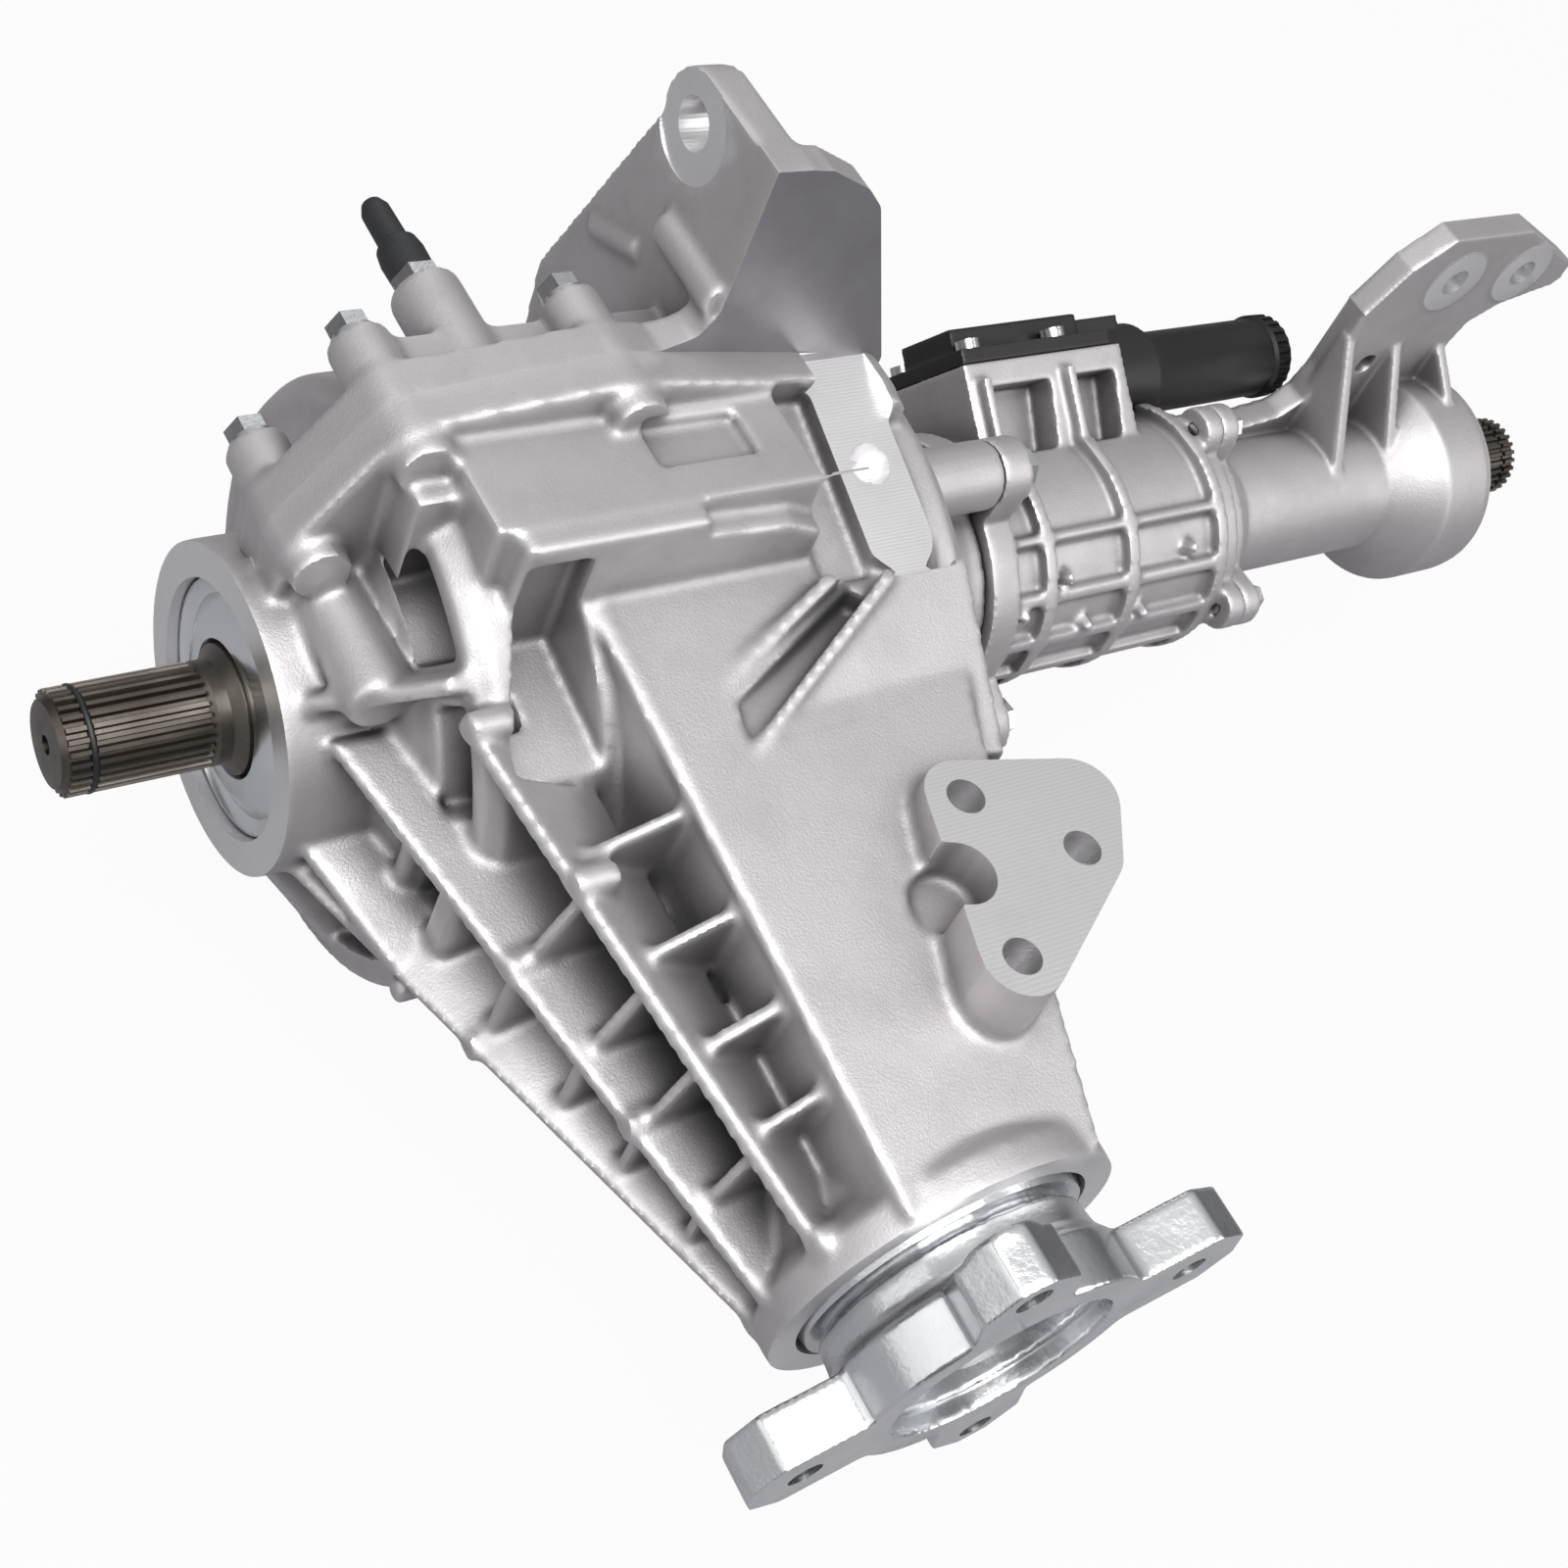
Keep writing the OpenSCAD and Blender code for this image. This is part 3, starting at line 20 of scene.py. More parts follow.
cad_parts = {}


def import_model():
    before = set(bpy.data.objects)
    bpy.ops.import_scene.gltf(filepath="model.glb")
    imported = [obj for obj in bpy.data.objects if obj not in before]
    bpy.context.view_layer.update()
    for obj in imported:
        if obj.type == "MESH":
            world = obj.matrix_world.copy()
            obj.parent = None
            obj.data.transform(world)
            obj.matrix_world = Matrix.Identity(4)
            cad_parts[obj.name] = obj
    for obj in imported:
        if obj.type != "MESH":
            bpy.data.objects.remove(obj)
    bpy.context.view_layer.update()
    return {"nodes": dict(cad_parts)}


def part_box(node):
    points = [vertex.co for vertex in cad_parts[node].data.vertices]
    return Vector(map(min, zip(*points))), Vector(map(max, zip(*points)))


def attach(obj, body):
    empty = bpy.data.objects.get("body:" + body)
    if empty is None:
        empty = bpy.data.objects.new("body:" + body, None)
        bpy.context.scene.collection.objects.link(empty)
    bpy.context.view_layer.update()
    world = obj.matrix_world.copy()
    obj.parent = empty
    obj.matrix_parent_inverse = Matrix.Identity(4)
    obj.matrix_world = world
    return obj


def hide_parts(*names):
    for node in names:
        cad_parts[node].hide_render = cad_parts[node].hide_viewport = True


LOG = logging.getLogger("front_differential")
MM = 0.001
AXLE_AHEAD = 270.0  # the axle line lies this far in front of the flange face
Point = Sequence[float]
MOST_TRIANGLES = 185_000  # a casting with more is thinned to this many
FLAT_AREA = 3 * MM ** 2  # a machined face larger than this is flat
WELD = 1e-6  # points of a CAD node that are closer than this, in metres, are one
FLOOR_GAP = 2 * MM
STOCK = 0.4  # thickness that a facing cutter takes off
JOINT_Y = 10.0  # the milled joint between the main housing and its cover
JOINT_ROUND = 10.0  # the joint's flange has this radius round each bolt
JOINT_BOLTS = ((-100, -58), (-60, -98), (6, -108), (68, -92), (102, -44),
               (103, 44), (74, 96), (-17, 110), (-83, 104), (-107, 67))  # (x, z)
ACTUATOR_TURN = 33.0  # degrees from straight ahead, upwards, to the actuator's side
ACTUATOR_REACH = 57.0  # from the axle line to the motor's own line


class Axis(Enum):
    """A direction that a piece is turned about or pushed along."""

    X = (1.0, 0.0, 0.0)
    Y = (0.0, 1.0, 0.0)
    Z = (0.0, 0.0, 1.0)


# ---------------------------------------------------------------- shapes


@dataclass
class Shell:
    """A closed skin: points in millimetres and the faces between them."""

    points: np.ndarray
    faces: list[list[int]]

    def moved(self, step: Point) -> Shell:
        """Returns the skin shifted by a step."""
        return Shell(self.points + np.asarray(step, float), self.faces)

    def turned(self, axis: Axis, degrees: float) -> Shell:
        """Returns the skin turned about an axis through the origin."""
        spin = np.array(Matrix.Rotation(np.radians(degrees), 3, Vector(axis.value)))
        return Shell(self.points @ spin.T, self.faces)


def loft(rings: np.ndarray, closed: bool = False) -> Shell:
    """Joins rings of points into a skin: point (k, i) is ring k's i-th point.

    Args:
        rings: An array of (rings, points around, 3).
        closed: True joins the last ring to the first; else both ends get flat caps.

    Returns:
        The closed skin.
    """
    count, around = rings.shape[:2]
    k, i = np.meshgrid(np.arange(count - 1 + closed), np.arange(around), indexing="ij")
    k_next, i_next = (k + 1) % count, (i + 1) % around
    quads = np.stack([k * around + i, k * around + i_next,
                      k_next * around + i_next, k_next * around + i], -1)
    faces = quads.reshape(-1, 4).tolist()
    if not closed:
        last = (count - 1) * around
        faces += [list(range(around))[::-1], list(range(last, last + around))]
    return Shell(rings.reshape(-1, 3), faces)


def upright(along: Point) -> tuple[np.ndarray, np.ndarray, np.ndarray]:
    """Works out three square unit directions from one.

    Args:
        along: The direction that the third one takes.

    Returns:
        The three directions, with w = u x v.
    """
    w = np.asarray(along, float) / np.linalg.norm(along)
    guide = np.array([0.0, 0.0, 1.0]) if abs(w[2]) < 0.9 else np.array([0.0, 1.0, 0.0])
    u = np.cross(guide, w)
    u /= np.linalg.norm(u)
    return u, np.cross(w, u), w


def turned(profile: Sequence[Point], axis: Axis | Point = Axis.X, at: Point = (0, 0, 0),
           around: int = 96, hollow: bool = False) -> Shell:
    """Carries a profile of (station, radius) round an axis: at + s w + r (u cos a + v sin a).

    Args:
        profile: Stations and radii from one end to the other.
        axis: The axis, named or as a direction.
        at: A point on it, where the station is 0.
        around: Points on each circle.
        hollow: True where the profile is itself a closed loop.

    Returns:
        The closed skin.
    """
    u, v, w = upright(axis.value if isinstance(axis, Axis) else axis)
    s, r = np.asarray(profile, float).T
    angle = np.linspace(0, 2 * np.pi, around, endpoint=False)
    circle = np.cos(angle)[:, None] * u + np.sin(angle)[:, None] * v
    rings = np.asarray(at, float) + s[:, None, None] * w + r[:, None, None] * circle
    return loft(rings, closed=hollow)


def rod(a: float, b: float, radius: float, axis: Axis | Point = Axis.X,
        at: Point = (0, 0, 0), around: int = 64) -> Shell:
    """Returns a plain round bar from station a to station b."""
    return turned([(a, radius), (b, radius)], axis, at, around)


def slab(outline: Sequence[Point], axis: Axis, low: float, high: float) -> Shell:
    """Pushes a flat outline along an axis.

    Args:
        outline: Pairs of the other two coordinates, in X, Y, Z order.
        axis: The axis to push along.
        low: Where on it the push starts.
        high: Where it ends.

    Returns:
        The closed skin.
    """
    flat = np.asarray(outline, float)
    place = {Axis.X: (1, 2, 0), Axis.Y: (0, 2, 1), Axis.Z: (0, 1, 2)}[axis]
    rings = np.zeros((2, len(flat), 3))
    rings[:, :, place[:2]] = flat
    rings[:, :, place[2]] = np.array([[low], [high]], float)
    return loft(rings)


def block(low: Point, high: Point) -> Shell:
    """Returns a square block between two corners."""
    (x0, y0, z0), (x1, y1, z1) = low, high
    return slab([(x0, y0), (x1, y0), (x1, y1), (x0, y1)], Axis.Z, z0, z1)


def rounded(points: Sequence[Point], radius: float, steps: int = 6) -> np.ndarray:
    """Runs an outline round points: at each corner p the arc p + radius (cos a, sin a).

    Args:
        points: Corners of a convex figure, counter-clockwise.
        radius: Distance of the outline from them.
        steps: Parts of each arc.

    Returns:
        The outline's points.
    """
    p = np.asarray(points, float)
    before, after = p - np.roll(p, 1, 0), np.roll(p, -1, 0) - p
    start = np.arctan2(before[:, 1], before[:, 0]) - np.pi / 2
    sweep = (np.arctan2(after[:, 1], after[:, 0]) - np.pi / 2 - start) % (2 * np.pi)
    angle = start[:, None] + sweep[:, None] * np.linspace(0, 1, steps + 1)
    return (p[:, None, :] + radius * np.stack([np.cos(angle), np.sin(angle)], -1)).reshape(-1, 2)


def rib(crest: Sequence[Point], foot: Sequence[Point], top: float, base: float) -> Shell:
    """Carries a tapered section along a rib: thin at its crest and thick at its foot.

    Args:
        crest: Points along the free edge.
        foot: As many points along the root, inside the wall.
        top: Thickness at the crest.
        base: Thickness at the foot.

    Returns:
        The closed skin.
    """
    c, f = np.asarray(crest, float), np.asarray(foot, float)
    side = np.cross(c[-1] - c[0], f.mean(0) - c.mean(0))
    side /= np.linalg.norm(side)
    return loft(np.stack([c - side * top / 2, c + side * top / 2,
                          f + side * base / 2, f - side * base / 2], 1))


# ---------------------------------------------------------------- meshes


def mesh_of(name: str, shells: Sequence[Shell], finish: int = 0) -> bpy.types.Mesh:
    """Puts skins into one mesh, in the frame's metres, with their faces turned outwards.

    Args:
        name: Name of the mesh.
        shells: The skins, in millimetres.
        finish: Material slot of all its faces.

    Returns:
        The mesh.
    """
    points, faces, start = [], [], 0
    for shell in shells:
        points.append(shell.points)
        faces += [[n + start for n in face] for face in shell.faces]
        start += len(shell.points)
    mesh = bpy.data.meshes.new(name)
    placed = (np.concatenate(points) + (0.0, AXLE_AHEAD, 0.0)) * MM
    mesh.from_pydata(placed.tolist(), [], faces)
    face_out(mesh)
    mesh.polygons.foreach_set("material_index", np.full(len(mesh.polygons), finish, np.int32))
    mesh.update()
    return mesh


def face_out(mesh: bpy.types.Mesh, merge: float = 0.0) -> None:
    """Turns every face outwards.

    Args:
        mesh: The mesh to change.
        merge: Points closer than this are merged first, where it isn't 0.
    """
    work = bmesh.new()
    work.from_mesh(mesh)
    if merge:
        bmesh.ops.remove_doubles(work, verts=work.verts, dist=merge)
    bmesh.ops.recalc_face_normals(work, faces=work.faces)
    work.to_mesh(mesh)
    work.free()


def as_object(name: str, mesh: bpy.types.Mesh) -> bpy.types.Object:
    """Links a mesh to the scene as an object at the origin."""
    piece = bpy.data.objects.new(name, mesh)
    bpy.context.scene.collection.objects.link(piece)
    return piece


def apply_all(piece: bpy.types.Object) -> None:
    """Turns a piece's modifiers into its mesh."""
    bpy.context.view_layer.update()
    evaluated = piece.evaluated_get(bpy.context.evaluated_depsgraph_get())
    baked = bpy.data.meshes.new_from_object(evaluated)
    old = piece.data
    piece.modifiers.clear()
    piece.data = baked
    bpy.data.meshes.remove(old)


def shade(piece: bpy.types.Object, degrees: float = 35.0) -> None:
    """Shades a piece smooth, while large machined faces stay flat.

    Args:
        piece: The piece, whose faces with more than four corners become triangles.
        degrees: Faces that meet more sharply than this get a crease.
    """
    mesh = piece.data
    work = bmesh.new()
    work.from_mesh(mesh)
    many = [face for face in work.faces if len(face.verts) > 4]
    bmesh.ops.triangulate(work, faces=many, ngon_method="EAR_CLIP")
    work.to_mesh(mesh)
    work.free()
    finish, area = np.zeros(len(mesh.polygons), np.int32), np.zeros(len(mesh.polygons))
    mesh.polygons.foreach_get("material_index", finish)
    mesh.polygons.foreach_get("area", area)
    mesh.polygons.foreach_set("use_smooth", (finish == 0) | (area < FLAT_AREA))
    mesh.set_sharp_from_angle(angle=np.radians(degrees))


def arc(profile: Sequence[Point], start: float, stop: float, count: int = 60) -> Shell:
    """Carries a closed profile of (x, radius) along an arc about the X axis.

    Args:
        profile: The section's corners, in order.
        start: First angle in degrees: 0 points up and 90 backwards.
        stop: Last angle.
        count: Stations along the arc.

    Returns:
        The closed skin: at each station (x, -r sin a, r cos a).
    """
    x, r = np.asarray(profile, float).T
    angle = np.radians(np.linspace(start, stop, count))[:, None]
    stations = np.broadcast_to(x, (count, len(x)))
    return loft(np.stack([stations, -r * np.sin(angle), r * np.cos(angle)], -1))


def at_angle(x: float, radius: float, degrees: float) -> Point:
    """Returns the point at a radius from the axle line: 0 degrees is up and 90 is backwards."""
    angle = np.radians(degrees)
    return x, -radius * np.sin(angle), radius * np.cos(angle)


def boolean(piece: bpy.types.Object, tools: Sequence[Shell], finish: int) -> bpy.types.Object:
    """Adds a modifier that takes tools out of a piece.

    Args:
        piece: The piece.
        tools: Cutters that don't touch each other.
        finish: One of the piece's material slots, which the cut faces get.

    Returns:
        The tools' object, to remove once the modifier is applied.
    """
    tool = as_object("cutter", mesh_of("cutter", tools, finish))
    for material in piece.data.materials:
        tool.data.materials.append(material)
    carve = piece.modifiers.new("cut", "BOOLEAN")
    carve.operation, carve.solver, carve.object = "DIFFERENCE", "MANIFOLD", tool
    return tool


def cut(piece: bpy.types.Object, *groups: Sequence[Shell], finish: int = 1) -> None:
    """Takes tools out of a piece, so that machined faces differ from cast ones.

    Args:
        piece: The piece.
        groups: Groups of tools, one group after the other; tools in a group don't touch.
        finish: Material slot of the cut faces.
    """
    tools = [boolean(piece, group, finish) for group in groups]
    apply_all(piece)
    for tool in tools:
        bpy.data.objects.remove(tool)


def cast_body(name: str, node: bpy.types.Object, extra: Sequence[Shell],
              materials: Sequence[bpy.types.Material], hollows: Sequence[Sequence[Shell]] = (),
              grain: float = 1.3, soften: int = 5) -> bpy.types.Object:
    """Casts a piece: its CAD solid and the extra forms run together, with soft edges.

    Args:
        name: Name of the piece.
        node: The CAD node that carries the main form.
        extra: Forms added to it, filled cavities among them.
        materials: The finishes, the as-cast one first.
        hollows: Groups of cored pockets, taken out before the edges soften; the pockets in a
            group don't touch.
        grain: Size of the remeshed faces in millimetres.
        soften: Rounds of smoothing, which make the fillets.

    Returns:
        The piece, all of it in the first finish.
    """
    body = node.data.copy()
    body.materials.clear()
    face_out(body, merge=WELD)
    work = bmesh.new()
    work.from_mesh(body)
    if extra:
        added = mesh_of("extra", extra)
        work.from_mesh(added)
        bpy.data.meshes.remove(added)
    work.to_mesh(body)
    work.free()
    piece = as_object(name, body)
    for material in materials:
        piece.data.materials.append(material)
    run_together(piece, grain)
    tools = [boolean(piece, group, 0) for group in hollows]
    if hollows:
        run_together(piece, grain)
    soft = piece.modifiers.new("soften", "SMOOTH")
    soft.factor, soft.iterations = 0.5, soften
    apply_all(piece)
    for tool in tools:
        bpy.data.objects.remove(tool)
    triangles = sum(len(face.vertices) - 2 for face in piece.data.polygons)
    if triangles > MOST_TRIANGLES:
        thin = piece.modifiers.new("thin", "DECIMATE")
        thin.ratio = MOST_TRIANGLES / triangles
        apply_all(piece)
    first = np.zeros(len(piece.data.polygons), np.int32)
    piece.data.polygons.foreach_set("material_index", first)
    return piece


def run_together(piece: bpy.types.Object, grain: float) -> None:
    """Adds a remesh that joins all the shells of a piece into one skin."""
    run = piece.modifiers.new("cast", "REMESH")
    run.mode, run.voxel_size = "VOXEL", grain * MM


# ---------------------------------------------------------------- finishes


def linear(code: str) -> tuple[float, float, float, float]:
    """Turns an sRGB hex colour into linear light."""
    raw = np.array([int(code[i:i + 2], 16) / 255 for i in (1, 3, 5)])
    value = np.where(raw <= 0.04045, raw / 12.92, ((raw + 0.055) / 1.055) ** 2.4)
    return (*value.tolist(), 1.0)


def add_node(tree: bpy.types.NodeTree, kind: str, values: dict | None = None,
             settings: dict | None = None, links: dict | None = None) -> bpy.types.Node:
    """Adds a shader node.

    Args:
        tree: The node tree.
        kind: The node's type.
        values: Values of its input sockets.
        settings: Its other settings.
        links: Output sockets to link, by the input socket that each one feeds.

    Returns:
        The node.
    """
    node = tree.nodes.new(kind)
    for key, value in (settings or {}).items():
        setattr(node, key, value)
    for key, value in (values or {}).items():
        node.inputs[key].default_value = value
    for key, source in (links or {}).items():
        tree.links.new(source, node.inputs[key])
    return node


class Grain(Enum):
    """How a surface was made, which gives its fine relief."""

    BLASTED = "blasted"
    MILLED = "milled"
    PLATED = "plated"
    MOULDED = "moulded"


@dataclass(frozen=True)
class Finish:
    """One finish.

    Attributes:
        name: Name of its material.
        base: Its main colour.
        stain: The colour of its darker clouds.
        metallic: Share of metal in its look.
        roughness: Its middle roughness.
        grain: How the surface was made.
        grain_mm: Size of its relief.
        relief: Strength of its relief.
        spread: How far the roughness varies to either side.
        edge_wear_highlight: The colour of edges, lighter with wear and a painted highlight, where
            the finish has them.
        cloud_mm: Size of the clouds.
        relief_mm: Height of the relief.
        painted_shade_mm: Recesses narrower than about this get painted shade.
    """

    name: str
    base: str
    stain: str
    metallic: float
    roughness: float
    grain: Grain
    grain_mm: float
    relief: float
    spread: float
    edge_wear_highlight: str | None = None
    cloud_mm: float = 28.0
    relief_mm: float = 0.3
    painted_shade_mm: float = 26.0

    def material(self) -> bpy.types.Material:
        """Builds the node material: clouds, relief and uneven gloss on Object coordinates.

        Returns:
            The material.
        """
        made = bpy.data.materials.new(self.name)
        made.use_nodes = True
        tree = made.node_tree
        tree.nodes.clear()
        place = add_node(tree, "ShaderNodeTexCoord").outputs["Object"]
        cloud = add_node(tree, "ShaderNodeTexNoise",
                         {"Scale": 1 / (self.cloud_mm * MM), "Detail": 5.0, "Roughness": 0.6},
                         links={"Vector": place})
        fine = self.fine(tree, place)
        tone = add_node(tree, "ShaderNodeMix", {6: linear(self.base), 7: linear(self.stain)},
                        {"data_type": "RGBA"})
        share = add_node(tree, "ShaderNodeMapRange",
                         {"From Min": 0.42, "From Max": 0.72, "To Min": 0.0, "To Max": 1.0},
                         links={"Value": cloud.outputs["Fac"]})
        tree.links.new(share.outputs["Result"], tone.inputs[0])
        gloss = add_node(tree, "ShaderNodeMapRange",
                         {"From Min": 0.3, "From Max": 0.7,
                          "To Min": max(self.roughness - self.spread, 0.05),
                          "To Max": min(self.roughness + self.spread, 1.0)},
                         links={"Value": cloud.outputs["Fac"]})
        # Where an edge colour is given, edges get wear with a painted highlight, and corners and
        # recesses get painted shade
        tint = tone.outputs[2] if self.edge_wear_highlight is None else self.edges(tree, tone.outputs[2])
        bump = add_node(tree, "ShaderNodeBump",
                        {"Strength": self.relief, "Distance": self.relief_mm * MM},
                        links={"Height": fine})
        shader = add_node(tree, "ShaderNodeBsdfPrincipled", {"Metallic": self.metallic},
                          links={"Base Color": tint, "Roughness": gloss.outputs["Result"],
                                 "Normal": bump.outputs["Normal"]})
        add_node(tree, "ShaderNodeOutputMaterial", links={"Surface": shader.outputs["BSDF"]})
        return made

    def edges(self, tree: bpy.types.NodeTree, tone: bpy.types.NodeSocket) -> bpy.types.NodeSocket:
        """Lightens edges with wear and a painted highlight, and paints shade into corners and
        recesses.

        Args:
            tree: The material's node tree.
            tone: The colour so far.

        Returns:
            The changed colour.
        """
        bend = add_node(tree, "ShaderNodeNewGeometry").outputs["Pointiness"]
        # Sharp convex edges turn lighter: wear with a painted highlight
        wear_and_highlight = add_node(tree, "ShaderNodeMapRange",
                          {"From Min": 0.5, "From Max": 0.58, "To Min": 0.0, "To Max": 0.4},
                          links={"Value": bend})
        # Concave corners turn darker: painted shade
        painted_crease_shade = add_node(tree, "ShaderNodeMapRange",
                          {"From Min": 0.5, "From Max": 0.43, "To Min": 1.0, "To Max": 0.5},
                          links={"Value": bend})
        bright = add_node(tree, "ShaderNodeMix", {7: linear(self.edge_wear_highlight)}, {"data_type": "RGBA"},
                          {0: wear_and_highlight.outputs["Result"], 6: tone})
        # Ambient occlusion darkens the colour in recesses: painted shade
        depth = add_node(tree, "ShaderNodeAmbientOcclusion", {"Distance": self.painted_shade_mm * MM},
                         {"samples": 8})
        shaded = add_node(tree, "ShaderNodeMapRange",
                          {"From Min": 0.1, "From Max": 0.8, "To Min": 0.25, "To Max": 1.0},
                          links={"Value": depth.outputs["AO"]})
        both = add_node(tree, "ShaderNodeMath", settings={"operation": "MULTIPLY"},
                        links={0: painted_crease_shade.outputs["Result"], 1: shaded.outputs["Result"]})
        dim = add_node(tree, "ShaderNodeMix", {0: 1.0},
                       {"data_type": "RGBA", "blend_type": "MULTIPLY"},
                       {6: bright.outputs[2], 7: both.outputs[0]})
        return dim.outputs[2]

    def fine(self, tree: bpy.types.NodeTree, place: bpy.types.NodeSocket) -> bpy.types.NodeSocket:
        """Makes the height pattern of the finish, scaled by its grain in millimetres.

        Args:
            tree: The material's node tree.
            place: The coordinates.

        Returns:
            The height.
        """
        scale = 1 / (self.grain_mm * MM)
        if self.grain is Grain.MILLED:
            wave = add_node(tree, "ShaderNodeTexWave",
                            {"Scale": scale / 4, "Distortion": 1.5, "Detail": 2.0},
                            {"wave_type": "RINGS"}, {"Vector": place})
            return wave.outputs["Fac"]
        noise = add_node(tree, "ShaderNodeTexNoise",
                         {"Scale": scale, "Detail": 3.0, "Roughness": 0.65},
                         links={"Vector": place})
        return noise.outputs["Fac"]


# Sand-cast aluminium, shot-blasted: pale warm grey with a fine matt sparkle, edges lighter from
# wear and a painted highlight, and painted shade in corners and recesses
CAST = Finish("cast_aluminium_blasted", "#b7b4b5", "#a9a6a7", 0.9, 0.55, Grain.BLASTED,
              0.8, 0.45, 0.05, "#dddcdc")
# The same metal where a cutter has faced it: brighter, with the tool's arcs
MILLED = Finish("cast_aluminium_milled", "#e4e3e4", "#dbdadb", 0.95, 0.38, Grain.MILLED,
                0.9, 0.10, 0.05)
# The web's rear face: smooth from a flat saw cut, darkened with painted shade for a face turned
# from the light
SAWN_PAINTED_SHADE = Finish("cast_aluminium_sawn_painted_shade", "#9a989c", "#8e8c90", 1.0, 0.34, Grain.BLASTED,
               0.6, 0.12, 0.05)
# Bright zinc plate on forged steel: cool and shiny with faint flow marks
ZINC = Finish("zinc_plated_steel", "#d2d3d5", "#c3c5c7", 1.0, 0.24, Grain.PLATED, 2.0, 0.3, 0.08)
# The left dust shield: pressed from bright sheet
SHIELD = Finish("bright_zinc_pressing", "#e4e6e8", "#d8dadc", 1.0, 0.22, Grain.PLATED,
                3.0, 0.08, 0.05)
# Machined shaft steel with an oil film: dark and softly shiny
OILED = Finish("oiled_shaft_steel", "#6a655f", "#4f4a45", 1.0, 0.36, Grain.PLATED, 1.2, 0.15, 0.06)
# Case-hardened gear steel: dark grey
GEAR = Finish("hardened_gear_steel", "#6f6f70", "#5b5a5a", 1.0, 0.34, Grain.PLATED, 1.5, 0.15, 0.06)
# Bearing steel, ground and bright
BEARING = Finish("ground_bearing_steel", "#b9bcbf", "#a5a8ab", 1.0, 0.2, Grain.PLATED,
                 1.5, 0.08, 0.05)
# Grey iron of the differential case
IRON = Finish("grey_iron_case", "#55524f", "#413e3b", 0.8, 0.55, Grain.BLASTED, 1.4, 0.5, 0.08)
# Sintered bronze of the thrust washers
BRONZE = Finish("sintered_bronze", "#a5824e", "#8a6b3e", 1.0, 0.35, Grain.PLATED, 1.0, 0.2, 0.06)
# Glass-filled nylon, moulded: near black with a soft sheen
NYLON = Finish("moulded_black_nylon", "#0c0c0e", "#121214", 0.0, 0.45, Grain.MOULDED,
               0.7, 0.2, 0.06)
# Nitrile rubber: black and matt
RUBBER = Finish("black_nitrile_rubber", "#17181a", "#202124", 0.0, 0.6, Grain.MOULDED,
                0.8, 0.15, 0.05)


@dataclass
class Palette:
    """Every finish as a material, made once."""

    made: dict[str, bpy.types.Material] = field(default_factory=dict)

    def __call__(self, finish: Finish) -> bpy.types.Material:
        """Returns the material of a finish."""
        if finish.name not in self.made:
            self.made[finish.name] = finish.material()
        return self.made[finish.name]


# ---------------------------------------------------------------- the differential


@dataclass
class Assembly:
    """What every sub-assembly needs: the CAD nodes and the finishes."""

    nodes: dict[str, bpy.types.Object]
    palette: Palette

    def settle(self, piece: bpy.types.Object, body: str, slot: str, *replaced: str) -> None:
        """Shades a piece and ties it to the frame.

        Args:
            piece: The piece.
            body: The body that it rides on.
            slot: Its material slot; not used.
            replaced: The CAD nodes that it stands for.
        """
        shade(piece)
        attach(piece, body)
        if replaced:
            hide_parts(*replaced)
        LOG.info("%s rides on %s, %d faces", piece.name, body, len(piece.data.polygons))

    def dress(self, finish: Finish, *names: str) -> None:
        """Gives CAD nodes that stay as they are a finish.

        Args:
            finish: The finish.
            names: The nodes.
        """
        for name in names:
            node = self.nodes[name]
            node.data.materials.clear()
            node.data.materials.append(self.palette(finish))


